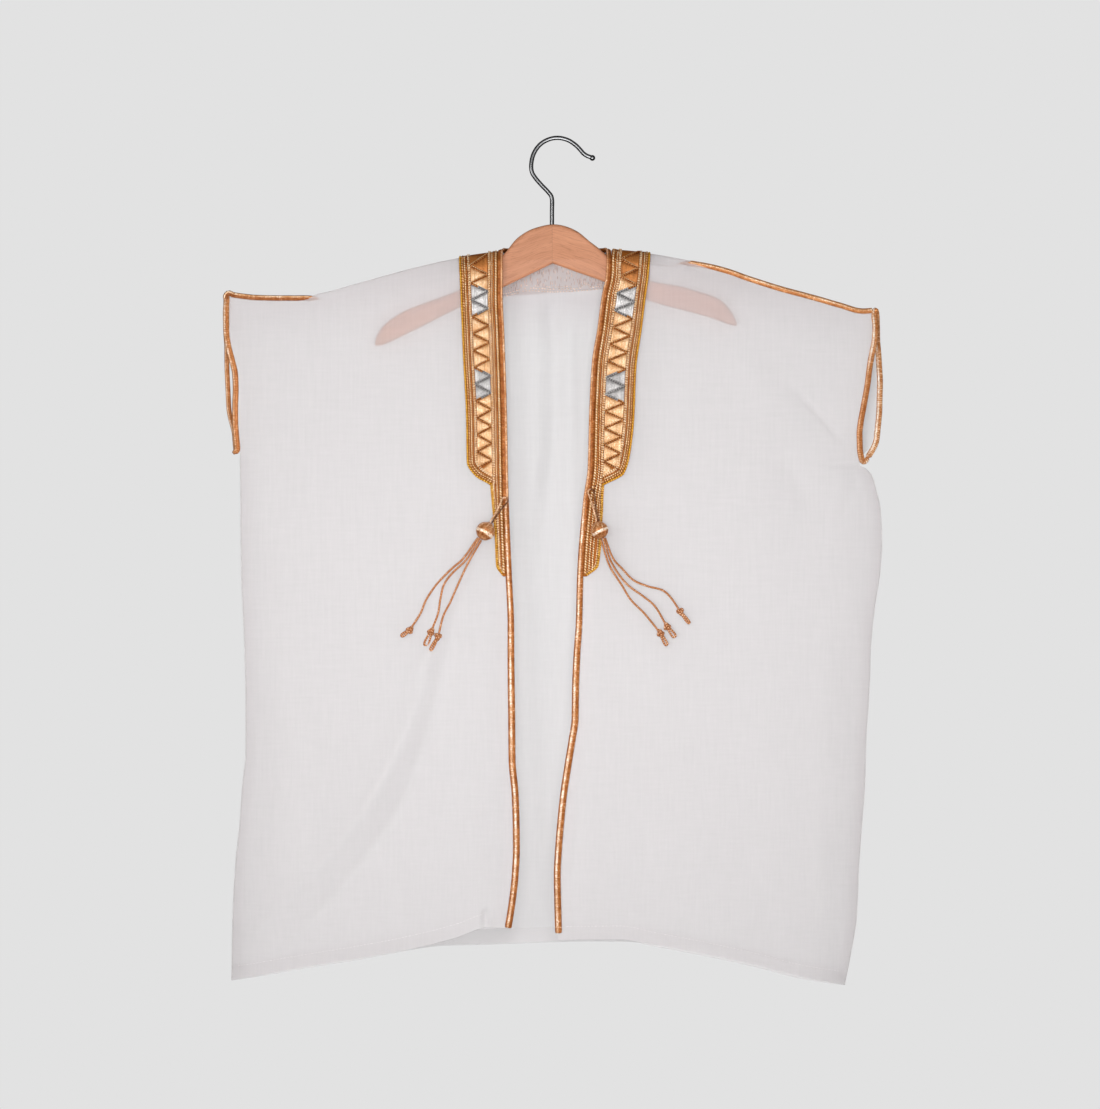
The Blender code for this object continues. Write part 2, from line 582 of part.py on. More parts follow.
def through(points, spacing):
    """Evenly spaced places on a smooth curve through the given ones."""
    p = np.array(points, float)
    p = np.vstack([2 * p[0] - p[1], p, 2 * p[-1] - p[-2]])
    fine = []
    for i in range(1, len(p) - 2):
        for k in range(16):
            t = k / 16
            fine.append(0.5 * (2 * p[i] + (p[i + 1] - p[i - 1]) * t
                               + (2 * p[i - 1] - 5 * p[i] + 4 * p[i + 1] - p[i + 2]) * t * t
                               + (3 * p[i] - p[i - 1] - 3 * p[i + 1] + p[i + 2]) * t ** 3))
    fine.append(p[-2])
    fine = np.array(fine)
    run = np.concatenate([[0], np.cumsum(np.linalg.norm(np.diff(fine, axis=0), axis=1))])
    count = max(2, int(round(run[-1] / spacing)))
    return np.array([[np.interp(q, run, fine[:, k]) for k in range(3)] for q in np.linspace(0, run[-1], count + 1)])


def cord(name, route, diameter, finish, parent, pitch=2.6):
    """A cord as a curve with a round bevel, along a smooth route."""
    curve = bpy.data.curves.new(name, "CURVE")
    curve.dimensions = "3D"
    curve.bevel_depth = diameter / 2 * MM
    curve.bevel_resolution = 2
    curve.use_fill_caps = True
    spots = through(route, pitch * diameter)
    line = curve.splines.new("POLY")
    line.points.add(len(spots) - 1)
    for point, spot in zip(line.points, spots):
        point.co = (*(spot * MM), 1)
    curve.materials.append(material(finish))
    obj = bpy.data.objects.new(name, curve)
    bpy.context.scene.collection.objects.link(obj)
    obj.parent = parent
    return obj


def ball(name, centre, along, length, width, finish, parent, sides=10, rings=7):
    """A turned bead or knot, longer or shorter along its own axis."""
    along = np.array(along, float) / np.linalg.norm(along)
    spots, radii = [], []
    for k in range(rings + 1):
        a = math.pi * (0.08 + 0.84 * k / rings)
        spots.append(np.array(centre) - along * math.cos(a) * length / 2)
        radii.append(math.sin(a) * width / 2)
    return rod(name, spots, radii, sides, finish, parent)


def surface_y(side, x, z):
    """Y of the outer face of a front panel at a place away from its edges."""
    x_side = side_x[side, "front"](z)
    z_top = shoulder_top(side, x)
    return -(stand_off("front", side, x, z, z_top - z, abs(x - x_side), SEAM_Y, SEAM_Y) + CLOTH / 2)


def build_panels(root):
    nets = {"back": back_panel_net(), "L": front_panel_net("L"), "R": front_panel_net("R")}
    wall("back_panel", nets["back"], "back", CLOTH, "voile", root)
    for side in "LR":
        wall("front_panel_" + side, nets[side], "front", CLOTH, "voile", root)
    return nets


def along_row(points, x):
    """The place on one row of a net where it passes x."""
    xs = points[:, 0]
    if xs[0] > xs[-1]:
        points, xs = points[::-1], xs[::-1]
    return np.array([np.interp(x, xs, points[:, k]) for k in range(3)])


def build_front_bands(side, net, root):
    """Both bands are cut from the front panel's own rows and moved out."""
    normals, stretch = net_normals(net, "front")
    off = CLOTH / 2 + SEAM + BAND / 2
    plans = (
        ("neckband_" + side, 0, BAND_FOOT, band_edge[side], BAND_COLUMNS),
        ("narrow_band_" + side, BAND_FOOT, NARROW_FOOT, narrow_edge[side], 1),
    )
    for name, first, last, edge, columns in plans:
        patch, out, grow = [], [], []
        rows = list(range(first, last + 1))
        for i in rows:
            outer_x = edge(along_row(net[i], edge(net[i, -1, 2]))[2])
            inner_x = net[i, -1, 0]
            if name.startswith("narrow") and abs(outer_x - inner_x) < 2.5:
                outer_x = inner_x + SIGN[side] * 2.5
            spots = [mix(outer_x, inner_x, c / columns) for c in range(columns + 1)]
            patch.append([along_row(net[i], x) for x in spots])
            row_n = np.column_stack([net[i, :, 0], normals[i] * stretch[i][:, None]])
            order = np.argsort(row_n[:, 0])
            out.append([np.array([np.interp(x, row_n[order, 0], row_n[order, k]) for k in (1, 2, 3)]) for x in spots])
            grow.append([1.0] * len(spots))
        patch, out, grow = np.array(patch), np.array(out), np.array(grow)
        if first:
            # The narrow band starts a seam's width below the wide one.
            patch[0] = patch[0] + (patch[1] - patch[0]) * (1.0 / np.linalg.norm(patch[1] - patch[0], axis=1))[:, None]
        wall(name, patch, "front", BAND, "zari_gold", root, off, out, grow)


def build_back_band(net, root):
    _, first, last, _ = back_columns()
    normals, stretch = net_normals(net, "back")
    part = np.s_[0:BACK_BAND_FOOT + 1, first:last + 1]
    off = CLOTH / 2 + SEAM + BAND / 2
    patch = net[part] + (normals * stretch[:, :, None])[part] * off
    patch[0] += (patch[1] - patch[0]) * 0.35 + normals[part][0] * 0.6
    wall("neckband_back", patch, "back", BAND, "zari_gold", root, 0.0, normals[part], stretch[part])


def build_edge_braids(nets, root):
    """Braid on both front edges, and round the back of the neck."""
    width, thickness = EDGE_BRAID
    raise_by = (thickness - CLOTH) / 2
    for side in "LR":
        net = nets[side]
        normals, _ = net_normals(net, "front")
        beside = np.array([SIGN[side] * (SEAM + width / 2), 0, 0])
        path = [net[i, -1] - beside + normals[i, -1] * raise_by for i in range(len(ROWS) - 1, -1, -1)]
        path.append(path[-1] + np.array([0, 0, 0.8]))
        outs = [normals[i, -1] for i in range(len(ROWS) - 1, -1, -1)] + [normals[0, -1]]
        braid("front_braid_" + side, path, outs, EDGE_BRAID, "zari", root)
    tops, _, _, necks = back_columns()
    edge = nets["back"][0, tops.index(necks[0]):tops.index(necks[1]) + 1]
    path, outs, scale = [], [], []
    for k, place in enumerate(edge):
        grow = 0.35 if k in (0, len(edge) - 1) else 1.0
        along = edge[min(k + 1, len(edge) - 1)] - edge[max(k - 1, 0)]
        out = np.array([-along[1], along[0], 0]) / math.hypot(along[0], along[1])
        path.append(place + out * raise_by + np.array([0, 0, SEAM + 0.1 + grow * width / 2]))
        outs.append(out)
        scale.append(grow)
    braid("neck_braid", path, outs, EDGE_BRAID, "zari", root, scale=scale)


def build_cuff_braids(nets, root):
    """One closed length of braid round each hand opening."""
    off = SEAM + CUFF_BRAID[0] / 2
    for side in "LR":
        s = SIGN[side]
        fronts = [nets[side][i, 0] + np.array([s * off, 0, 0]) for i in range(CUFF_FOOT - 1)]
        last = -1 if side == "R" else 0
        backs = [nets["back"][i, last] + np.array([s * off, 0, 0]) for i in range(CUFF_FOOT - 1)]
        if side == "R":
            backs[-1] = backs[-1] + np.array([0.4, 0, 0.6])
            fronts.append(np.array([259.2, -CUFF_Y, -271.2]))
            backs.append(np.array([261.4, CUFF_Y, -271.6]))
        else:
            fronts.append(np.array([-273.0, -CUFF_Y, -262.2]))
            backs.append(np.array([-274.4, CUFF_Y, -262.2]))
        top = (fronts[0] + backs[0]) / 2 + np.array([0, 0, 3.4])
        for row in (fronts, backs):
            row.insert(0, np.array([row[0][0], math.copysign(CUFF_Y, row[0][1]), row[0][2] + 1.9]))
        foot = (fronts[-1] + backs[-1]) / 2 + np.array([0, 0, -1.5])
        path = [top] + fronts + [foot] + backs[::-1]
        outs = [(0, 0, 1)] + [(0, -1, 0)] * len(fronts) + [(0, 0, -1)] + [(0, 1, 0)] * len(backs)
        braid("cuff_braid_" + side, path, outs, CUFF_BRAID, "zari", root, closed=True)


def build_shoulder_braids(nets, root):
    """Braid on the shoulder seams: behind the fold at first, then standing on the seam."""
    back = nets["back"]
    normals, _ = net_normals(back, "back")
    _, first, last, _ = back_columns()
    width, thickness = SHOULDER_BRAID
    off = CLOTH / 2 + SEAM + thickness / 2

    for side in "LR":
        s = SIGN[side]

        def seam_z(x):
            return max(along_row(nets[side][0], x)[2], along_row(back[0], x)[2])

        def behind(x, lower):
            """A place on the back panel's outer face, between its third row and its second."""
            spots = []
            for row in (2, 1):
                spots.append(along_row(back[row] + normals[row] * off, x))
            return mix(spots[0], spots[1], lower)

        start, sunk = SINK[side]
        begin = -170.0 if side == "L" else back[2, last, 0] + s * 1.5
        path = [behind(mix(begin, start, k / 5), 0) for k in range(5)]
        path += [behind(mix(start, sunk, t), t) for t in (0, 0.5, 1)]
        outs = [np.array([0, 1, 0.2])] * len(path)
        for t in (0.3, 0.6, 0.85, 1.0):
            x = mix(sunk, ON_SEAM[side], t)
            y = path[7][1] * (1 - step_between(0, 1, t))
            path.append(np.array([x, y, seam_z(x) + SEAM + width / 2]))
            outs.append(np.array([0, 1, 0.2 * (1 - t)]))
        stop = nets[side][0, 0, 0] - s * 0.3
        for x in [x for x in SHOULDER_COLUMNS[side][::-1] if s * x > s * ON_SEAM[side] + 4] + [stop]:
            path.append(np.array([x, 0, seam_z(x) + SEAM + width / 2]))
            outs.append(np.array([0, 1, 0]))
        braid("shoulder_braid_" + side, path, outs, SHOULDER_BRAID, "zari", root)


def build_hanger(root):
    outline = [(x, z) for x, z in WOOD_OUTLINE]
    count = len(outline)
    points = [(x, y, z) for y in (-WOOD / 2, WOOD / 2) for x, z in outline]
    faces = [tuple(range(count)), tuple(range(2 * count - 1, count - 1, -1))]
    faces += [(k, (k + 1) % count, count + (k + 1) % count, count + k) for k in range(count)]
    body = add_mesh("hanger_body", points, faces, "beech", root)
    bevel = body.modifiers.new("rounded_edges", "BEVEL")
    bevel.width = WOOD_ROUND * MM
    bevel.segments = 2
    bevel.limit_method = "ANGLE"
    bevel.angle_limit = math.radians(60)
    shank_x, shank_z = HOOK_LINE[0]
    hole = rod("hook_hole", [(shank_x, 0, -72 - HOOK_HOLE), (shank_x, 0, -60)],
               [WIRE / 2 + SEAM] * 2, 12, "beech", root)
    hole.hide_render = True
    hole.display_type = "WIRE"
    cut = body.modifiers.new("hook_hole", "BOOLEAN")
    cut.operation = "DIFFERENCE"
    cut.object = hole
    cut.solver = "EXACT"

    line = through([(x, 0, z) for x, z in HOOK_LINE], 5.2)
    radii = [WIRE / 2] * len(line)
    tip, towards = line[-1], line[-1] - line[-2]
    towards = towards / np.linalg.norm(towards)
    line, radii = list(line[:-1]), radii[:-1]
    for k in range(6):
        a = math.pi * (0.22 + 0.70 * k / 5)
        line.append(tip - towards * math.cos(a) * WIRE_BALL / 2)
        radii.append(max(math.sin(a) * WIRE_BALL / 2, 0.5))
    radii[-6] = WIRE / 2
    rod("hanger_hook", line, radii, 10, "steel", root)


def build_tassels(root):
    for side in "LR":
        s = SIGN[side]
        bx, bz, size = BEADS[side]
        lx, lz = LOOP_START[side]
        face_y = surface_y(side, bx, bz) - SEAM - BAND
        by = face_y - SEAM - size / 2 - 0.4
        centre = np.array([bx, by, bz])
        start_y = surface_y(side, lx + s * 6, lz) - SEAM - BAND - LOOP_CORD / 2 - 1.2
        start = np.array([lx, start_y, lz])
        axis = start - centre
        axis = axis / np.linalg.norm(axis)
        ball("bead_" + side, centre, axis, size, size, "zari", root, sides=12, rings=8)
        # The loop goes from the bead up to its stitch, turns there and comes back.
        beside = np.cross(axis, (0, 1, 0))
        beside /= np.linalg.norm(beside)
        foot = centre + axis * (size / 2 + SEAM + 0.4)
        turn = start - axis * LOOP_HALF
        sag = np.array([0, -0.6, 0])
        legs = [(foot, 0.95), (mix(foot, turn, 0.4) + sag, 1.5), (mix(foot, turn, 0.8) + sag, 2.3)]
        route = [place - beside * half for place, half in legs]
        for angle in (180, 144, 108, 72, 36, 0):
            a = math.radians(angle)
            route.append(turn + (beside * math.cos(a) + axis * math.sin(a)) * LOOP_HALF)
        route += [place + beside * half for place, half in reversed(legs)]
        cord("loop_" + side, route, LOOP_CORD, "zari", root, 2.0)
        for key in "abc":
            name = side + "_" + key
            table = CORDS[name]
            route = []
            last = len(table) - 1
            for k, (x, z) in enumerate(table):
                rest_y = surface_y(side, x, z) - CORD / 2 - CORD_OFF[key]
                route.append((x, mix(by, rest_y, step_between(0, 0.45, k / last)), z))
            route = np.array(route)
            lead = np.array(CORD_LEAVES[name])
            route[0] = centre + lead / np.linalg.norm(lead) * (size / 2 + SEAM + 0.3)
            kx, kz, tx, tz = KNOTS[name]
            knot = np.array([kx, route[-1][1], kz])
            pull = knot - route[-2]
            pull /= np.linalg.norm(pull)
            route[-1] = knot - pull * (KNOT[0] / 2 + SEAM)
            cord("cord_" + name, route, CORD, "zari", root)
            ball("knot_" + name, knot, pull, KNOT[0], KNOT[1], "zari", root, sides=8, rings=5)
            tail_end = np.array([tx, knot[1], tz])
            lead = tail_end - knot
            lead /= np.linalg.norm(lead)
            tail_start = knot + lead * (KNOT[0] / 2 + SEAM)
            reach = tail_end - tail_start
            spots = [tail_start + reach * q for q in (0, 0.3, 0.75, 1)]
            rod("tail_" + name, spots, [TAIL * 0.30, TAIL * 0.46, TAIL / 2, TAIL * 0.26], 8, "zari", root)


def main():
    for obj in list(bpy.data.objects):
        bpy.data.objects.remove(obj, do_unlink=True)
    root = bpy.data.objects.new("bisht_on_hanger", None)
    bpy.context.scene.collection.objects.link(root)
    nets = build_panels(root)
    for side in "LR":
        build_front_bands(side, nets[side], root)
    build_back_band(nets["back"], root)
    build_edge_braids(nets, root)
    build_cuff_braids(nets, root)
    build_shoulder_braids(nets, root)
    build_hanger(root)
    build_tassels(root)


main()
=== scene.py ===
"""The looks of a child's bisht cloak on its clothes hanger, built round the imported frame.

The cloth is three thin sheets on the forms of their solids, with hems, facings
and creases. The bands are rows of couched metal thread and satin stitch on a
stiff ground, the braids are two wound plies, and the tassels are twisted cords.
All tables are in millimetres, in the frame of the part: X to the right, Z up,
-Y to the front, and the origin inside the hook's crown.
"""

import json
import math

import bpy
import numpy as np
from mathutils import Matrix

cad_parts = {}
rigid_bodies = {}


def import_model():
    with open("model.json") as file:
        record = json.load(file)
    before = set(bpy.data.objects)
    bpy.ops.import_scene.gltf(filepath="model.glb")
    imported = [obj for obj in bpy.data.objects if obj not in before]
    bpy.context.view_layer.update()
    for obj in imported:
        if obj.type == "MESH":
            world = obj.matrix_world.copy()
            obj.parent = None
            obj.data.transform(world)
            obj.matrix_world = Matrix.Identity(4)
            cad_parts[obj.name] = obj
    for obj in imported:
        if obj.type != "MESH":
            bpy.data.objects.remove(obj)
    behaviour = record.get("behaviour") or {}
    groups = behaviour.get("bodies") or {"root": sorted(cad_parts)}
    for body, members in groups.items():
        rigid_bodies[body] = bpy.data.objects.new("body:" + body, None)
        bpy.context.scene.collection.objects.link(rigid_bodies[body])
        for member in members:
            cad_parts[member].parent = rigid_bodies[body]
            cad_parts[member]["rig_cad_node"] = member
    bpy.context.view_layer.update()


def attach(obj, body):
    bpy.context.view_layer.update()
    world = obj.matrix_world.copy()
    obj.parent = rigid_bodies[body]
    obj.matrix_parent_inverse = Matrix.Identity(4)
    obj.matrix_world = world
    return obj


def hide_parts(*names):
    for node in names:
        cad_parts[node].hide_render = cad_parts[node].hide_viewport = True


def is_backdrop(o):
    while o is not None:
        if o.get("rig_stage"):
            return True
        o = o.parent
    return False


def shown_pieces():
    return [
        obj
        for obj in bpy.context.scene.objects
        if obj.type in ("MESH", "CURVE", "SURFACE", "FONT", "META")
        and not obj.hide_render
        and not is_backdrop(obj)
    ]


for old in list(bpy.data.objects):
    bpy.data.objects.remove(old, do_unlink=True)

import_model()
MM = 0.001

# ------------------------------------------------------------------ sizes of the part
CLOTH, BAND, SEAM = 1.2, 1.2, 0.3
EDGE_BRAID, CUFF_BRAID, SHOULDER_BRAID = (6.0, 2.8), (5.4, 2.4), (5.0, 2.4)
WOOD, WOOD_ROUND, WIRE, WIRE_BALL = 10.0, 2.8, 3.7, 5.0
CORD, LOOP_CORD, LOOP_HALF = 2.0, 1.2, 2.5
CUFF_Y, CUFF_GAPE, CUFF_SHARE = 1.5, 4.6, 0.235
SHOULDER = {
    "L": [(-46.8, -94.3), (-84.0, -99.9), (-122.5, -108.4), (-167.5, -120.7), (-203.0, -130.2),
          (-214.0, -131.9), (-236.5, -132.1), (-256.0, -131.7), (-272.0, -130.0), (-283.0, -128.0)],
    "R": [(43.0, -93.1), (78.5, -96.3), (112.0, -102.2), (127.0, -104.8), (144.0, -109.2),
          (161.0, -115.2), (189.0, -124.1), (219.0, -132.2), (241.0, -138.6), (259.0, -143.2), (275.0, -141.8)],
}
SIDE = {
    "L": [(-131, -278.4, -279.0), (-147, -279.3, -279.3), (-163, -278.9, -279.3), (-177, -276.7, -278.6),
          (-187, -274.0, -278.0), (-200, -271.2, -277.4), (-212, -270.8, -276.8), (-228, -271.3, -276.0),
          (-240, -271.3, -274.8), (-250, -270.7, -272.8), (-263, -269.8, -271.4), (-268, -270.3, -270.3),
          (-309, -269.9, -269.9), (-372, -269.1, -269.1), (-419, -266.9, -266.9), (-477, -265.5, -265.5),
          (-520, -265.5, -265.5), (-546, -268.0, -268.0), (-581, -270.6, -270.6), (-615, -274.1, -274.1),
          (-668, -276.8, -276.8), (-714, -277.4, -277.4)],
    "R": [(-144, 265.0, 267.8), (-158, 266.8, 268.5), (-170, 266.2, 268.8), (-181, 264.0, 269.8),
          (-194, 261.7, 270.7), (-206, 260.2, 271.3), (-218, 258.2, 271.0), (-230, 256.0, 270.7),
          (-243, 253.8, 269.5), (-253, 253.0, 268.2), (-262, 253.3, 264.4), (-270, 254.6, 257.8),
          (-276.5, 256.5, 256.5), (-279.5, 262.0, 262.0), (-285, 266.6, 266.6), (-297, 270.3, 270.3),
          (-314, 274.0, 274.0), (-341, 275.3, 275.3), (-365, 274.0, 274.0), (-396, 269.4, 269.4),
          (-428, 266.1, 266.1), (-467, 264.6, 264.6), (-512, 261.8, 261.8), (-546, 260.9, 260.9),
          (-581, 258.4, 258.4), (-616, 255.8, 255.8), (-659, 253.9, 253.9), (-695, 248.2, 248.2),
          (-718, 243.6, 243.6)],
}
SIDE_SEAM_TOP = {"L": -268.0, "R": -279.5}
SIDE_FOOT = {"L": -714.0, "R": -718.0}
FRONT_EDGE = {
    "L": [(-94, -46.8), (-133, -46.8), (-161, -45.5), (-236, -43.0), (-298, -41.8), (-371, -38.8),
          (-411, -36.9), (-444, -36.7), (-482, -36.1), (-526, -35.7), (-556, -33.1), (-578, -32.3),
          (-601, -32.0), (-624, -33.1), (-647, -35.7), (-670, -39.4)],
    "R": [(-93, 43.0), (-99, 41.2), (-114, 40.6), (-133, 36.9), (-161, 33.1), (-190, 28.5), (-236, 26.1),
          (-280, 24.9), (-306, 21.2), (-371, 15.9), (-411, 14.8), (-439, 12.8), (-466, 11.6), (-492, 11.2),
          (-509, 8.8), (-533, 4.9), (-556, 1.5), (-578, -0.8), (-601, -2.7), (-624, -3.8), (-647, -3.4),
          (-680, -2.5)],
}
BAND_EDGE = {
    "L": [(-100, -84.1), (-133, -82.9), (-184, -80.8), (-236, -78.2), (-274, -77.6), (-286, -70.5), (-293, -58.6)],
    "R": [(-96, 78.6), (-114, 77.3), (-133, 74.8), (-160, 71.4), (-195, 66.6), (-236, 64.9), (-268, 61.2),
          (-284, 56.1), (-294, 38.5)],
}
NARROW_EDGE = {
    "L": [(-293, -57.8), (-340, -53.8), (-362, -52.7), (-371, -46.8)],
    "R": [(-294, 39.1), (-316, 38.1), (-362, 34.5), (-371, 24.5)],
}
HEM = {
    "back": [(-277.4, -714.0), (-255.0, -711.1), (-217.0, -703.5), (-178.0, -697.7), (-136.0, -691.0),
             (-98.0, -685.9), (-60.0, -684.8), (-12.0, -683.0), (30.0, -682.0), (59.0, -682.4),
             (82.0, -684.8), (132.0, -694.0), (169.0, -702.1), (206.0, -711.4), (243.6, -718.0)],
    "L": [(-277.4, -714.0), (-217.0, -703.0), (-168.0, -695.0), (-127.5, -687.2), (-86.0, -676.6),
          (-60.0, -668.3), (-45.0, -668.8)],
    "R": [(3.0, -678.8), (52.0, -678.3), (82.0, -683.8), (132.0, -693.4), (169.0, -701.8),
          (206.0, -711.2), (243.6, -718.0)],
}
NECK_Z, NECK_X = -91.2, (-46.0, 38.0)
DEPTH = [
    (-90, 7.4, 7.4), (-180, 7.8, 7.6), (-260, 9.2, 8.6), (-340, 10.6, 10.0), (-450, 12.6, 12.0),
    (-560, 14.6, 14.0), (-660, 16.6, 16.0), (-720, 17.4, 17.0),
]
TOP_TURN = [(0, 10.5), (70, 10.5), (105, 25.0), (155, 27.0), (190, 40.0), (290, 40.0)]
SIDE_TURN = 46.0
FOLDS = [
    ("L", -86, -250, -100, -440, -250, -668, 24, 3.4),
    ("L", -60, -250, -72, -440, -190, -690, 24, -3.0),
    ("L", -226, -258, -228, -290, -238, -335, 20, -2.0),
    ("L", -61, -545, -55, -600, -61, -652, 12, -3.0),
    ("R", 64, -466, 72, -520, 82, -590, 18, -2.6),
    ("R", 92, -440, 104, -540, 120, -668, 26, 3.0),
    ("R", 186, -267, 202, -292, 220, -318, 18, -2.4),
    ("R", 196, -206, 222, -236, 250, -267, 12, -1.6),
    ("R", 180, -420, 196, -540, 190, -700, 30, 2.4),
    ("back", -12, -148, -7, -236, -25, -322, 16, -3.0),
    ("back", -42, -170, -36, -230, -34, -275, 14, -2.4),
    ("back", 12, -180, 12, -320, 4, -560, 20, 2.2),
    ("back", -90, -230, -118, -440, -180, -690, 28, 3.6),
    ("back", -150, -300, -190, -480, -225, -700, 26, -3.0),
    ("back", 90, -240, 120, -460, 150, -690, 28, 3.4),
    ("back", 150, -280, 190, -480, 205, -700, 26, -3.0),
]
WOOD_OUTLINE = [
    (-4.9, -71.8), (5.7, -73.2), (16.9, -78.1), (26.9, -86.2), (34.3, -91.8), (40.8, -97.6), (58.0, -110.5),
    (78.2, -119.6), (103.7, -124.4), (118.9, -128.8), (136.3, -134.9), (145.9, -144.5), (152.0, -156.5),
    (147.0, -157.2), (130.8, -151.4), (103.7, -143.9), (78.2, -136.8), (38.8, -120.4), (-4.2, -105.4),
    (-45.5, -124.6), (-84.1, -142.5), (-137.7, -169.2), (-151.0, -174.6), (-155.6, -173.6), (-152.0, -163.0),
    (-143.7, -153.8), (-128.3, -144.4), (-106.0, -136.0), (-84.1, -127.4), (-64.0, -113.0), (-46.4, -97.2),
    (-43.2, -93.9), (-35.4, -84.3), (-25.5, -77.4), (-15.5, -73.7),
]
HOOK_LINE = [
    (-5.1, -83.5), (-5.1, -62.0), (-5.2, -49.6), (-8.2, -44.4), (-14.0, -38.3), (-19.4, -32.0),
    (-22.3, -26.6), (-22.6, -19.5), (-20.6, -11.5), (-15.6, -4.2), (-8.2, 0.4), (0.0, 1.85), (8.2, 0.0),
    (14.6, -4.0), (19.2, -8.6), (21.4, -11.2), (24.2, -13.2), (27.4, -14.5), (29.2, -15.2),
]
BEADS = {"L": (-61.4, -332.6, 15.2), "R": (35.2, -331.8, 14.2)}
LOOP_START = {"L": (-43.6, -304.4), "R": (27.4, -297.0)}
CORDS = {
    "L_a": [(-67.6, -340.0), (-80.2, -355.6), (-89.6, -364.0), (-102.0, -376.6), (-111.3, -389.9),
            (-116.5, -402.1), (-122.0, -412.6)],
    "L_b": [(-66.4, -341.4), (-77.8, -356.8), (-88.6, -367.2), (-96.4, -377.4), (-99.6, -389.9),
            (-101.6, -402.3), (-104.8, -413.0)],
    "L_c": [(-64.6, -341.8), (-75.6, -358.6), (-84.2, -376.6), (-90.8, -391.8), (-97.0, -404.1),
            (-100.6, -416.4)],
    "R_a": [(40.6, -339.3), (46.4, -355.2), (54.4, -364.4), (63.8, -374.0), (75.6, -379.1),
            (88.2, -382.5), (95.6, -388.9), (101.2, -396.0)],
    "R_b": [(39.4, -340.3), (45.0, -358.6), (57.5, -376.6), (71.7, -387.4), (82.0, -396.1),
            (89.6, -408.4)],
    "R_c": [(37.6, -341.0), (43.4, -361.4), (54.2, -378.6), (61.6, -390.6), (73.4, -402.6),
            (82.4, -414.4)],
}
KNOTS = {
    "L_a": (-125.4, -416.2, -133.2, -421.8),
    "L_b": (-107.4, -417.6, -112.4, -430.0),
    "L_c": (-101.6, -421.8, -108.4, -434.2),
    "R_a": (103.7, -400.8, 111.6, -411.0),
    "R_b": (92.3, -413.2, 99.4, -422.6),
    "R_c": (86.6, -418.8, 92.4, -429.6),
}
KNOT = (5.4, 4.6)
CORD_OFF = {"a": 1.6, "b": 2.2, "c": 2.8}
CORD_LEAVES = {
    "L_a": (-0.75, -0.02, -0.66), "L_b": (-0.58, -0.46, -0.70), "L_c": (-0.42, -0.02, -0.90),
    "R_a": (0.58, -0.02, -0.82), "R_b": (0.38, -0.46, -0.82), "R_c": (0.14, -0.02, -0.98),
}
SIGN = {"L": -1.0, "R": 1.0}
SINK = {"L": (-196.0, -212.0), "R": (104.0, 120.0)}
SHOWS = {"L": (-203.0, -222.0), "R": (108.0, 137.0)}  # where the cloth uncovers the braid along the shoulder

# ------------------------------------------------------------------ sizes of the detail
SHEET_STEP = 2.15  # spacing of the sheets' points
SEAM_GAP = 0.12  # each sheet's distance from the plane Y = 0 along a seam
ROLL = 0.9  # how round the cloth turns over at a seam or a fold
HEM_TURN = 13.0  # height of the turned-up hem
SIDE_TURN_IN = 8.0  # width of the seam allowance inside each side
FACING = 10.5  # width of the facing behind each front edge
PERIOD = 14.28  # of the zigzag along the wide bands
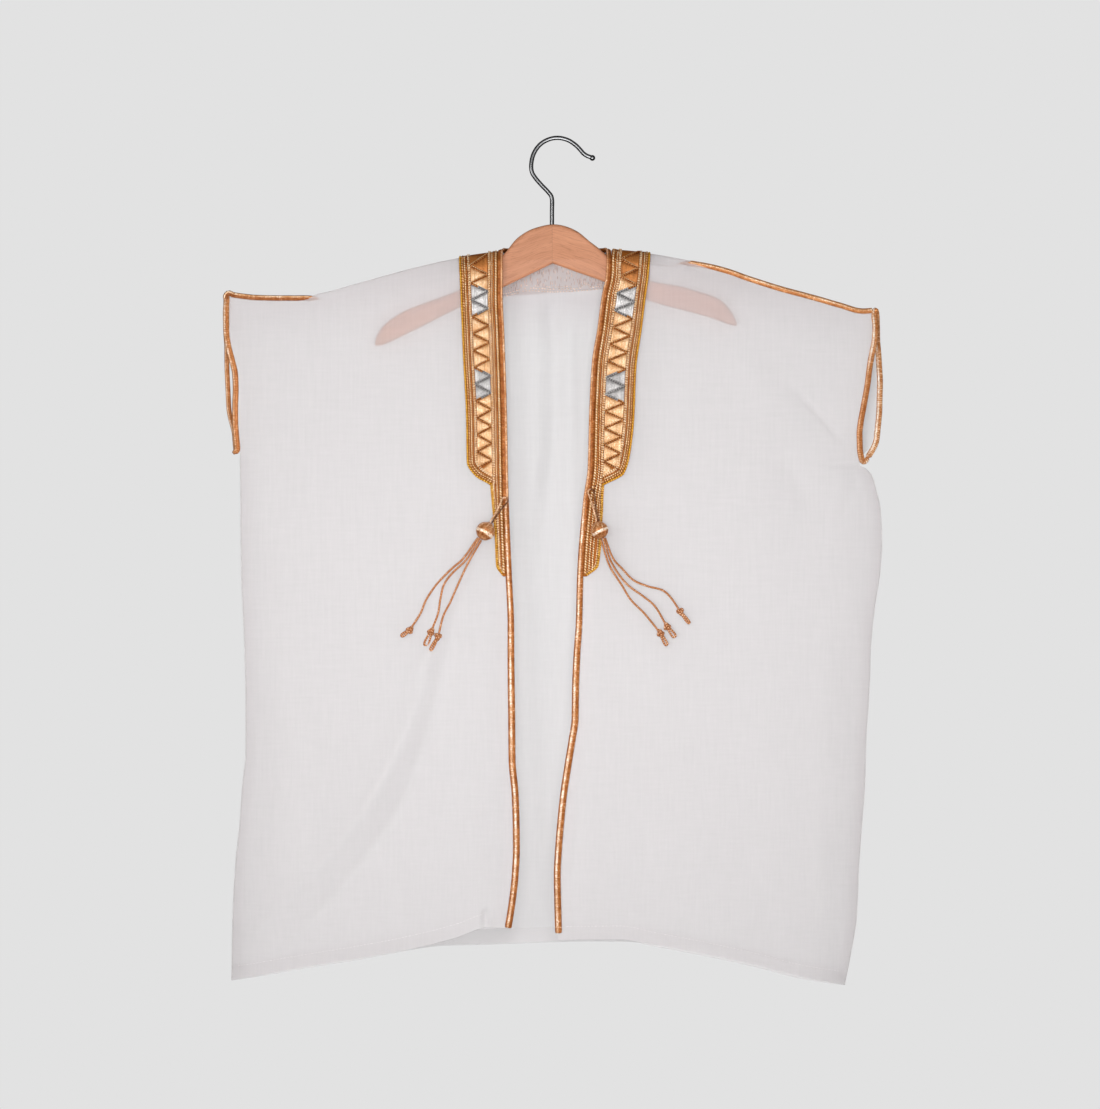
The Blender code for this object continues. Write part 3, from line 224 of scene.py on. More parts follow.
# Smaller creases, each a soft trough or ridge along a curve through its places.
CREASES = [
    # panel, places (x, z), half width, height
    ("L", [(-98, -300), (-108, -425), (-158, -560), (-276, -690)], 9, 4.3),
    ("L", [(-84, -330), (-94, -440), (-142, -580), (-254, -708)], 8, -4.0),
    ("L", [(-228, -258), (-236, -288), (-243, -330)], 7, -1.5),
    ("L", [(-219, -246), (-214, -280), (-210, -318)], 6, 0.8),
    ("L", [(-262, -262), (-246, -276), (-232, -284)], 5, -1.0),
    ("L", [(-250, -160), (-210, -196), (-168, -214)], 12, -0.9),
    ("L", [(-262, -190), (-224, -222), (-190, -236)], 9, 0.7),
    ("L", [(-150, -186), (-150, -300), (-168, -420)], 16, -0.9),
    ("L", [(-118, -300), (-124, -400), (-150, -500)], 12, 0.8),
    ("L", [(-92, -420), (-108, -510), (-160, -590)], 7, 1.0),
    ("L", [(-58, -470), (-64, -540), (-62, -610)], 6, -0.9),
    ("L", [(-74, -520), (-96, -600), (-120, -672)], 8, -0.9),
    ("L", [(-230, -420), (-224, -520), (-234, -640)], 14, 0.9),
    ("L", [(-196, -560), (-214, -620), (-240, -690)], 9, -1.0),
    ("L", [(-256, -470), (-250, -560), (-256, -650)], 8, -0.8),
    ("L", [(-60.5, -652), (-62.2, -660), (-61.0, -671)], 2.2, -3.2),
    ("L", [(-56.0, -650), (-56.6, -660), (-56.0, -671)], 2.6, 1.6),
    ("L", [(-180, -640), (-190, -664), (-198, -694)], 6, 0.7),
    ("R", [(262, -279), (248, -300), (238, -330)], 5, -1.3),
    ("R", [(256, -272), (270, -292), (282, -306)], 4, 0.8),
    ("R", [(196, -206), (226, -238), (250, -267)], 4, -1.8),
    ("R", [(186, -267), (203, -292), (222, -320)], 8, -1.5),
    ("R", [(150, -180), (176, -210), (214, -232)], 10, 0.8),
    ("R", [(64, -466), (72, -520), (80, -576)], 7, -1.5),
    ("R", [(80, -470), (88, -540), (96, -600)], 9, 1.0),
    ("R", [(120, -240), (132, -360), (128, -470)], 16, -0.8),
    ("R", [(150, -400), (160, -520), (150, -640)], 12, -0.9),
    ("R", [(232, -420), (226, -520), (226, -640)], 11, 0.9),
    ("R", [(206, -560), (214, -640), (206, -704)], 8, -0.9),
    ("R", [(30, -420), (30, -520), (18, -600)], 7, 0.8),
    ("R", [(14, -560), (12, -620), (10, -668)], 5, -0.8),
    ("R", [(44, -600), (46, -640), (42, -678)], 7, 0.8),
    ("R", [(238, -664), (240, -690), (236, -716)], 3, -1.5),
    ("R", [(100, -640), (104, -662), (106, -688)], 6, 0.6),
    ("back", [(-11, -150), (-8, -236), (-24, -320)], 6, -1.3),
    ("back", [(-40, -172), (-36, -232), (-34, -272)], 5, -1.2),
    ("back", [(-6, -120), (-5, -205), (-6, -262), (-14, -350)], 9.5, 8.6),
    ("back", [(10, -140), (11, -236), (13, -420)], 7, -3.6),
    ("back", [(-22, -150), (-23, -210), (-30, -280)], 6, 0.9),
    ("back", [(26, -150), (22, -240), (20, -330)], 7, -0.8),
    ("back", [(-30, -320), (-26, -420), (-22, -540)], 9, 0.7),
    ("back", [(-10, -400), (-8, -500), (-12, -620)], 8, -0.7),
    ("back", [(-72, -150), (-84, -260), (-80, -380)], 9, -1.0),
    ("back", [(-110, -160), (-128, -280), (-132, -400)], 12, 1.0),
    ("back", [(-160, -170), (-190, -230), (-240, -270)], 9, -1.2),
    ("back", [(-200, -180), (-226, -216), (-262, -262)], 6, 0.9),
    ("back", [(-150, -420), (-170, -540), (-196, -680)], 11, 1.1),
    ("back", [(-60, -420), (-70, -560), (-64, -676)], 12, -1.0),
    ("back", [(-236, -380), (-232, -520), (-246, -690)], 10, 0.9),
    ("back", [(52, -150), (60, -280), (56, -400)], 9, 1.0),
    ("back", [(90, -160), (104, -260), (102, -360)], 10, -1.0),
    ("back", [(160, -180), (190, -226), (240, -270)], 9, -1.1),
    ("back", [(206, -190), (228, -220), (256, -262)], 6, 0.9),
    ("back", [(60, -420), (72, -560), (70, -674)], 11, -1.0),
    ("back", [(110, -480), (118, -580), (112, -684)], 9, 0.9),
    ("back", [(168, -430), (176, -560), (170, -696)], 12, 1.0),
    ("back", [(236, -400), (230, -540), (222, -700)], 10, -0.9),
]


# ------------------------------------------------------------------ small mathematics
def curve(table, key=0, value=1):
    """A monotone cubic through two columns of a table, for numbers or arrays."""
    rows = sorted((float(row[key]), float(row[value])) for row in table)
    a, b = np.array([r[0] for r in rows]), np.array([r[1] for r in rows])
    step = np.diff(a)
    slope = np.diff(b) / step
    grade = np.zeros(len(a))
    grade[0], grade[-1] = slope[0], slope[-1]
    for i in range(1, len(a) - 1):
        if slope[i - 1] * slope[i] > 0:
            first, second = 2 * step[i] + step[i - 1], step[i] + 2 * step[i - 1]
            grade[i] = (first + second) / (first / slope[i - 1] + second / slope[i])

    def at(q):
        q = np.clip(np.asarray(q, float), a[0], a[-1])
        i = np.clip(np.searchsorted(a, q, side="right") - 1, 0, len(a) - 2)
        h = step[i]
        t = (q - a[i]) / h
        return ((1 + 2 * t) * (1 - t) ** 2 * b[i] + t * (1 - t) ** 2 * h * grade[i]
                + t * t * (3 - 2 * t) * b[i + 1] + t * t * (t - 1) * h * grade[i + 1])

    return at


def mix(a, b, t):
    return a + (b - a) * t


def ease(t):
    return 1 - (1 - np.clip(t, 0, 1)) ** 2


def step_between(a, b, q):
    t = np.clip((np.asarray(q, float) - a) / (b - a), 0, 1)
    return t * t * (3 - 2 * t)


def quarter(t):
    """0 to 1 as a quarter circle, for cloth that rolls over an edge."""
    return np.sqrt(1 - (1 - np.clip(t, 0, 1)) ** 2)


def unit(v):
    v = np.asarray(v, float)
    return v / np.maximum(np.linalg.norm(v, axis=-1, keepdims=True), 1e-12)


def noise(seed, x, z, cell_x, cell_z):
    """Smooth value noise, about -1 to 1, on cells of the given sizes."""
    lattice = np.random.RandomState(seed).uniform(-1, 1, (64, 64))
    u, v = np.asarray(x) / cell_x + 1000.0, np.asarray(z) / cell_z + 1000.0
    iu, iv = np.floor(u).astype(int), np.floor(v).astype(int)
    fu, fv = u - iu, v - iv
    fu, fv = fu ** 3 * (fu * (fu * 6 - 15) + 10), fv ** 3 * (fv * (fv * 6 - 15) + 10)
    a, b = lattice[iu % 64, iv % 64], lattice[(iu + 1) % 64, iv % 64]
    c, d = lattice[iu % 64, (iv + 1) % 64], lattice[(iu + 1) % 64, (iv + 1) % 64]
    return mix(mix(a, b, fu), mix(c, d, fu), fv)


def through(points, spacing, closed=False):
    """Evenly spaced places on a smooth curve through the given ones."""
    p = np.array(points, float)
    if closed:
        p = np.vstack([p[-1], p, p[0], p[1]])
    else:
        p = np.vstack([2 * p[0] - p[1], p, 2 * p[-1] - p[-2]])
    t = np.arange(16)[:, None] / 16
    fine = []
    for i in range(1, len(p) - 2):
        fine.append(0.5 * (2 * p[i] + (p[i + 1] - p[i - 1]) * t
                           + (2 * p[i - 1] - 5 * p[i] + 4 * p[i + 1] - p[i + 2]) * t * t
                           + (3 * p[i] - p[i - 1] - 3 * p[i + 1] + p[i + 2]) * t ** 3))
    fine.append(p[-2][None])
    return evenly(np.vstack(fine), spacing)


def evenly(fine, spacing):
    run = np.concatenate([[0], np.cumsum(np.linalg.norm(np.diff(fine, axis=0), axis=1))])
    count = max(2, int(round(run[-1] / spacing)))
    at = np.linspace(0, run[-1], count + 1)
    return np.column_stack([np.interp(at, run, fine[:, k]) for k in range(fine.shape[1])])


def gap_to(points, x, z):
    """Distance to a polyline of (x, z) places, and how far along it, 0 to 1."""
    p = np.array(points, float)
    best = np.full(np.shape(x), 1e9)
    where = np.zeros(np.shape(x))
    last = len(p) - 1
    for i in range(last):
        d = p[i + 1] - p[i]
        t = np.clip(((x - p[i, 0]) * d[0] + (z - p[i, 1]) * d[1]) / (d @ d), 0, 1)
        gap = np.hypot(x - p[i, 0] - t * d[0], z - p[i, 1] - t * d[1])
        near = gap < best
        best = np.where(near, gap, best)
        where = np.where(near, (i + t) / last, where)
    return best, where


def bow(x1, z1, x2, z2, x3, z3):
    """A fold's curve, as the part's folds run."""
    t = np.linspace(0, 1, 25)
    cx, cz = 2 * x2 - (x1 + x3) / 2, 2 * z2 - (z1 + z3) / 2
    return np.column_stack([mix(mix(x1, cx, t), mix(cx, x3, t), t), mix(mix(z1, cz, t), mix(cz, z3, t), t)])


# ------------------------------------------------------------------ form of the sheets
shoulder = {s: curve(SHOULDER[s]) for s in "LR"}
side_x = {(s, face): curve(SIDE[s], 0, 1 + (face == "back")) for s in "LR" for face in ("front", "back")}
front_edge = {s: curve(FRONT_EDGE[s]) for s in "LR"}
band_edge = {s: curve(BAND_EDGE[s]) for s in "LR"}
narrow_edge = {s: curve(NARROW_EDGE[s]) for s in "LR"}
hem = {name: curve(HEM[name]) for name in HEM}
depth = {"front": curve(DEPTH, 0, 1), "back": curve(DEPTH, 0, 2)}
top_turn = curve(TOP_TURN)
# Width of the braid on the front edges: slimmer beside the embroidered band.
braid_width = curve([(-700, 6.2), (-480, 6.4), (-380, 5.8), (-300, 5.6), (-200, 5.2), (-90, 4.6)])


def seam_top(s, x):
    """The part's own upper edge of a panel at a shoulder."""
    drop = mix(CLOTH / 2, SHOULDER_BRAID[0] + SEAM + CLOTH / 2, step_between(SINK[s][0], SINK[s][1], x))
    return shoulder[s](x) - drop


def cloth_top(s, x):
    """Where the cloth itself ends at a shoulder: at its fold, or inside the braid."""
    return shoulder[s](x) - mix(0.3, 4.7, step_between(SHOWS[s][0], SHOWS[s][1], x))


def cuff_share(s, z):
    corner = seam_top(s, side_x[s, "front"](-131 if s == "L" else -144))
    return np.clip((corner - z) / (corner - SIDE_SEAM_TOP[s]), 0, 1)


def side_stand(s, z):
    """Stand-off of the cloth's edge along a hand opening and along the side seam."""
    share = cuff_share(s, z)
    gape = np.maximum(np.sin(math.pi * share), 0) ** 0.9
    return SEAM_GAP + 0.9 * step_between(0, 0.06, share) * (1 - step_between(0.94, 1, share)) + (CUFF_GAPE + 0.5) * gape


def relief(panel, x, z, below, from_side, free):
    """Folds, creases and the faint unevenness of hanging voile."""
    total = np.zeros(np.shape(x))
    for name, x1, z1, x2, z2, x3, z3, half, height in FOLDS:
        if name == panel:
            gap, where = gap_to(bow(x1, z1, x2, z2, x3, z3), x, z)
            ends = np.minimum(1, np.minimum(0.25 + 3 * where, 0.35 + 3 * (1 - where)))
            total += height * ends * np.exp(-((gap / half) ** 2))
    total *= step_between(15, 70, below) * step_between(6, 40, from_side)
    small = np.zeros(np.shape(x))
    for k, (name, places, half, height) in enumerate(CREASES):
        if name == panel:
            line = through([(a, b) for a, b in places], 6.0)
            gap, where = gap_to(line, x, z)
            ends = np.sin(math.pi * np.clip(where, 0.02, 0.98)) ** 0.6
            wander = 1 + 0.35 * noise(300 + k, x, z, 40, 26)
            small += height * ends * wander * np.exp(-((gap / half) ** 2))
    seed = {"L": 11, "R": 23, "back": 37}[panel]
    lower = 0.55 + 0.75 * step_between(-250, -700, z)
    small += lower * (0.75 * noise(seed, x, z, 34, 120) + 0.42 * noise(seed + 1, x + 0.25 * z, z, 17, 64)
                      + 0.26 * noise(seed + 2, x - 0.3 * z, z, 11, 30))
    small += 0.10 * noise(seed + 3, x, z, 5.0, 11.0) + 0.07 * noise(seed + 4, x, z, 7.0, 4.2)
    return total, small * free


def front_off(s, x, z):
    """Distance of a front sheet from the plane Y = 0."""
    x, z = np.asarray(x, float), np.asarray(z, float)
    below = seam_top(s, x) - z
    from_side = np.maximum(SIGN[s] * (side_x[s, "front"](z) - x), 0)
    ft = ease(below / top_turn(np.abs(x)))
    turned = ease(from_side / SIDE_TURN)
    from_band = SIGN[s] * (x - band_edge[s](z))
    from_edge = SIGN[s] * (x - front_edge[s](z))
    held = np.where(z > -296, step_between(-2, 22, from_band), step_between(2, 22, from_edge) * 0.8 + 0.2)
    held = mix(held, step_between(2, 24, from_edge), step_between(-296, -380, z) * 0.2)
    free = step_between(0, 34, below) * step_between(0, 26, from_side) * held
    large, small = relief(s, x, z, below, from_side, free)
    out = depth["front"](z) + large
    off = SEAM_GAP * (1 - ft) + ft * mix(side_stand(s, z), out, turned) + small * ft
    edge_roll = quarter((cloth_top(s, x) - z) / 1.6) * mix(1, 0.55, step_between(SHOWS[s][0], SHOWS[s][1], x))
    side_roll = mix(1, quarter(from_side / 1.6), step_between(0.97, 1.0, cuff_share(s, z)))
    return np.maximum(off, 0.05) + ROLL * edge_roll * side_roll * (1 - ft * turned)


LEFT_X, RIGHT_X = float(side_x["L", "back"](-131)), float(side_x["R", "back"](-144))
NECK_L = float(front_edge["L"](-95)) - EDGE_BRAID[0] - SEAM
NECK_R = float(front_edge["R"](-94)) + EDGE_BRAID[0] + SEAM


def neck_share(x):
    """1 across the back neckline, 0 along the shoulders."""
    return step_between(NECK_L - 1, NECK_X[0] + 1, x) * (1 - step_between(NECK_X[1] - 1, NECK_R + 1, x))


def back_tops(x):
    """The part's upper edge of the back panel, and where its cloth really ends."""
    x = np.asarray(x, float)
    low = np.where(x < 0, seam_top("L", x), seam_top("R", x))
    real = np.where(x < 0, cloth_top("L", x), cloth_top("R", x))
    n = neck_share(x)
    return mix(low, NECK_Z - EDGE_BRAID[0] - SEAM, n), mix(real, NECK_Z - 2.6, n)


def back_off(x, z):
    """Distance of the back sheet from the plane Y = 0."""
    x, z = np.asarray(x, float), np.asarray(z, float)
    top, real = back_tops(x)
    n = neck_share(x)
    below = top - z
    left, right = x - side_x["L", "back"](z), side_x["R", "back"](z) - x
    from_side = np.maximum(np.minimum(left, right), 0)
    edge = np.where(left < right, side_stand("L", z), side_stand("R", z))
    share = np.where(left < right, cuff_share("L", z), cuff_share("R", z))
    ft = ease(below / top_turn(np.abs(x)))
    turned = ease(from_side / SIDE_TURN)
    free = step_between(0, 34, below) * step_between(0, 26, from_side)
    # The stiff band round the back of the neck holds the cloth flat.
    in_band = step_between(-96, -82, x) * (1 - step_between(76, 90, x)) * step_between(-142, -128, z)
    large, small = relief("back", x, z, below, from_side, free * (1 - 0.85 * in_band))
    out = depth["back"](z) + large
    top_y = mix(SEAM_GAP, depth["back"](NECK_Z), n)
    off = top_y * (1 - ft) + ft * mix(edge, out, turned) + small * ft
    edge_roll = mix(quarter((real - z) / 1.6), 1, n)
    side_roll = mix(1, quarter(from_side / 1.6), step_between(0.97, 1.0, share))
    return np.maximum(off, 0.05) + ROLL * edge_roll * side_roll * (1 - ft * turned) * (1 - n)


def lift(panel, x, z, off):
    """A place off the outer face of a sheet: x, z on the sheet, off along its normal."""
    x, z = np.asarray(x, float), np.asarray(z, float)
    form = (lambda a, b: back_off(a, b)) if panel == "back" else (lambda a, b: front_off(panel, a, b))
    face = 1.0 if panel == "back" else -1.0
    e = 0.8
    gx = (form(x + e, z) - form(x - e, z)) / (2 * e)
    gz = (form(x, z + e) - form(x, z - e)) / (2 * e)
    gx, gz = np.clip(gx, -1.2, 1.2), np.clip(gz, -1.2, 1.2)
    n = unit(np.stack([-gx, np.full(np.shape(gx), face), -gz], -1))
    spot = np.stack([x, face * form(x, z), z], -1)
    off = np.asarray(off, float)
    return spot + n * (off[..., None] if off.ndim else off), n


# ------------------------------------------------------------------ meshes
class Piece:
    """Gathers points and faces of one mesh, with a tone (painted light: 0 is painted shade in a groove, 1 a painted
    highlight on a crest) and a tint (each thread's own shade) at every point."""

    def __init__(self):
        self.points, self.faces, self.slots, self.tone, self.tint, self.count = [], [], [], [], [], 0

    def add(self, points, faces, slot=0, tone=1.0, tint=0.0):
        points = np.asarray(points, float).reshape(-1, 3)
        n = len(points)
        self.points.append(points)
        self.tone.append(np.broadcast_to(np.asarray(tone, float), (n,)))
        self.tint.append(np.broadcast_to(np.asarray(tint, float), (n,)))
        for block in faces if isinstance(faces, list) else [faces]:
            block = np.asarray(block, int) + self.count
            self.faces += block.tolist()
            self.slots += [slot] * len(block)
        self.count += n

    def make(self, name, materials, smooth=True, sharp=None):
        mesh = bpy.data.meshes.new(name)
        mesh.from_pydata((np.vstack(self.points) * MM).tolist(), [], self.faces)
        for made in materials:
            mesh.materials.append(made)
        mesh.polygons.foreach_set("material_index", np.array(self.slots, np.int32))
        # tone carries the painted shade and highlight into the materials; tint is each thread's own shade.
        for key, data in (("tone", self.tone), ("tint", self.tint)):
            mesh.attributes.new(key, "FLOAT", "POINT").data.foreach_set(
                "value", np.concatenate(data).astype(np.float32))
        if smooth:
            mesh.shade_smooth()
        if sharp:
            mesh.set_sharp_from_angle(angle=math.radians(sharp))
        mesh.update()
        obj = bpy.data.objects.new(name, mesh)
        bpy.context.scene.collection.objects.link(obj)
        return obj


def strip_faces(rows, cols, flip=False, around=False, ring=False):
    """Quads of a grid of points, closed across (around) or along (ring)."""
    i = np.arange(rows if ring else rows - 1)[:, None]
    j = np.arange(cols if around else cols - 1)[None]
    i2, j2 = (i + 1) % rows, (j + 1) % cols
    quads = np.stack([i * cols + j, i * cols + j2, i2 * cols + j2, i2 * cols + j], -1).reshape(-1, 4)
    return quads[:, ::-1] if flip else quads


def frames_on(path, normals, ring=False):
    """Tangents, cleaned normals and widths (tangent x normal) of a path."""
    if ring:
        ahead, behind = np.roll(path, -1, 0), np.roll(path, 1, 0)
        tangent = unit(ahead - behind)
    else:
        tangent = unit(np.gradient(path, axis=0))
    n = np.broadcast_to(np.asarray(normals, float), path.shape)
    n = unit(n - tangent * (n * tangent).sum(1)[:, None])
    return tangent, n, np.cross(tangent, n)


def frames_free(path):
    """Frames of a free cord that don't twist along it."""
    tangent = unit(np.gradient(path, axis=0))
    n = np.zeros_like(path)
    start = np.cross(tangent[0], (0, 1, 0) if abs(tangent[0][1]) < 0.9 else (1, 0, 0))
    n[0] = start / np.linalg.norm(start)
    for i in range(1, len(path)):
        v = n[i - 1] - tangent[i] * (n[i - 1] @ tangent[i])
        n[i] = v / np.linalg.norm(v)
    return tangent, n, np.cross(tangent, n)


def tube(piece, path, radii, frames, sides=8, wide=1.0, high=1.0, slot=0, tone=None, tint=0.0, ring=False,
         taper=None, shift=(0.0, 0.0)):
    """A tube along a path. radii is one per point, or one per point and side."""
    _, n, w = frames
    count = len(path)
    angle = np.linspace(0, 2 * math.pi, sides, endpoint=False)
    radii = np.broadcast_to(np.asarray(radii, float), (count, sides)) if np.ndim(radii) != 1 else \
        np.repeat(np.asarray(radii, float)[:, None], sides, 1)
    if taper is not None:
        radii = radii * taper[:, None]
    centre = path + w * shift[0] + n * shift[1]
    points = (centre[:, None] + w[:, None] * (np.cos(angle) * radii * wide)[..., None]
              + n[:, None] * (np.sin(angle) * radii * high)[..., None])
    tone = np.ones((count, sides)) if tone is None else np.broadcast_to(tone, (count, sides))
    faces = [strip_faces(count, sides, around=True, ring=ring)]
    flat, tones = points.reshape(-1, 3), tone.reshape(-1)
    if not ring:
        caps = np.array([centre[0], centre[-1]])
        flat, tones = np.vstack([flat, caps]), np.concatenate([tones, [0.4, 0.4]])
        base = count * sides
        k = np.arange(sides)
        faces.append(np.stack([np.full(sides, base), (k + 1) % sides, k], -1))
        last = (count - 1) * sides
        faces.append(np.stack([np.full(sides, base + 1), last + k, last + (k + 1) % sides], -1))
    piece.add(flat, faces, slot, tones, tint if np.ndim(tint) == 0 else
              np.concatenate([np.repeat(tint, sides), [0, 0]][:2 if not ring else 1]))


def twist(count, sides, step, pitch, plies=2, dip=0.22, phase=0.0):
    """Radii (as a share) and tones of a cord laid up from plies; the tones paint shade between the plies and a
    highlight on the side its normal faces.
    """
    angle = np.linspace(0, 2 * math.pi, sides, endpoint=False)[None]
    run = np.arange(count)[:, None] * step
    wave = np.clip(0.5 + 0.5 * np.cos(plies * angle - plies * 2 * math.pi * run / pitch + phase), 0, 1)
    # Painted highlight on the side the normal faces, painted shade in the grooves between plies.
    crest = np.clip(np.sin(angle + 0.25), 0, 1)
    return 1 - dip * (1 - wave) ** 1.4, np.clip(wave ** 0.8 * (0.30 + 0.75 * crest), 0, 1)


def rope(piece, path, normals, width, pitch=None, sides=7, high=0.8, slot=0, dip=0.24, plies=1, tint=0.0,
         step=None, phase=0.0, ends=True, ring=False):
    """A twisted cord couched on the surface."""
    pitch = pitch or 2.1 * plies
    step = step or pitch / plies / 4.6
    data = np.column_stack([path, np.broadcast_to(np.asarray(normals, float), np.shape(path))])
    if ring:
        data = np.vstack([data, data[:1]])
    data = evenly_by(data, step)
    if ring:
        data = data[:-1]
    spots, outs = data[:, :3], unit(data[:, 3:])
    frames = frames_on(spots, outs, ring)
    share, tone = twist(len(spots), sides, step, pitch, plies, dip, phase)
    taper = None
    if ends and not ring:
        k = np.arange(len(spots))
        near = np.minimum(k, len(spots) - 1 - k) * step / (width * 0.5)
        taper = 0.35 + 0.65 * quarter(near)
    tube(piece, spots, share * width / 2, frames, sides, 1.0, high, slot, tone, tint, ring, taper)
    return len(spots)


def evenly_by(data, spacing):
    """Rows of data respaced by the distance along their first three columns."""
    run = np.concatenate([[0], np.cumsum(np.linalg.norm(np.diff(data[:, :3], axis=0), axis=1))])
    count = max(3, int(round(run[-1] / spacing)))
    at = np.linspace(0, run[-1], count + 1)
    return np.column_stack([np.interp(at, run, data[:, k]) for k in range(data.shape[1])])


def dots(piece, path, normals, spacing, size, slot=0, seed=1):
    """A row of small thread knots: flattened, slightly uneven beads."""
    rng = np.random.RandomState(seed)
    data = evenly_by(np.column_stack([path, normals]), spacing)
    spots, outs = data[:, :3], unit(data[:, 3:])
    tangent, n, w = frames_on(spots, outs)
    long, wide, high = size
    rings, sides = 4, 6
    up = np.linspace(-0.5, 0.5, rings + 1)
    angle = np.linspace(0, 2 * math.pi, sides, endpoint=False)
    for k in range(len(spots)):
        grow = rng.uniform(0.85, 1.12)
        lean = rng.uniform(-0.3, 0.3)
        a, b = tangent[k] + w[k] * lean, w[k] - tangent[k] * lean
        r = np.sqrt(np.maximum(1 - (2 * up) ** 2, 0.06))
        body = (spots[k] + a * (up * long * grow)[:, None])[:, None]
        body = body + b * (np.cos(angle)[None] * r[:, None] * wide / 2 * grow)[..., None]
        body = body + n[k] * (np.sin(angle)[None] * r[:, None] * high / 2)[..., None]
        # Painted shade towards each knot's ends, lighter across its middle.
        tone = np.broadcast_to(0.35 + 0.65 * r[:, None] ** 2, (rings + 1, sides))
        piece.add(body.reshape(-1, 3), strip_faces(rings + 1, sides, around=True), slot,
                  tone.reshape(-1), rng.uniform(-1, 1))


# ------------------------------------------------------------------ materials
def tree(name):
    made = bpy.data.materials.new(name)
    made.use_nodes = True
    nodes, links = made.node_tree.nodes, made.node_tree.links
    nodes.clear()

    def node(kind, **inputs):
        n = nodes.new(kind)
        for key, value in inputs.items():
            if key.startswith("_"):
                setattr(n, key[1:], value)
            else:
                n.inputs[int(key[1:]) if key[0] == "i" and key[1:].isdigit() else key.replace("__", " ")].default_value = value
        return n

    return made, node, lambda a, b: links.new(a, b)


def place(node, link, scale):
    at = node("ShaderNodeTexCoord")
    grow = node("ShaderNodeMapping")
    grow.inputs["Scale"].default_value = scale
    link(at.outputs["Object"], grow.inputs["Vector"])
    return grow.outputs["Vector"]


def calc(node, link, operation, a, b=None, c=None, clamp=False):
    n = node("ShaderNodeMath", _operation=operation, _use_clamp=clamp)
    for slot, value in enumerate((a, b, c)):
        if value is None:
            continue
        if isinstance(value, (int, float)):
            n.inputs[slot].default_value = value
        else:
            link(value, n.inputs[slot])
    return n.outputs[0]


def noisy(node, link, vector, scale, detail=2.0, rough=0.5):
    n = node("ShaderNodeTexNoise", Scale=scale, Detail=detail, Roughness=rough)
    link(vector, n.inputs["Vector"])
    return n.outputs["Fac"]


def blend_colour(node, link, fac, a, b, kind="MIX"):
    n = node("ShaderNodeMix", _data_type="RGBA", _blend_type=kind)
    for slot, value in ((0, fac), (6, a), (7, b)):
        if isinstance(value, tuple):
            n.inputs[slot].default_value = (*value, 1)
        elif isinstance(value, (int, float)):
            n.inputs[slot].default_value = value
        else:
            link(value, n.inputs[slot])
    return n.outputs[2]
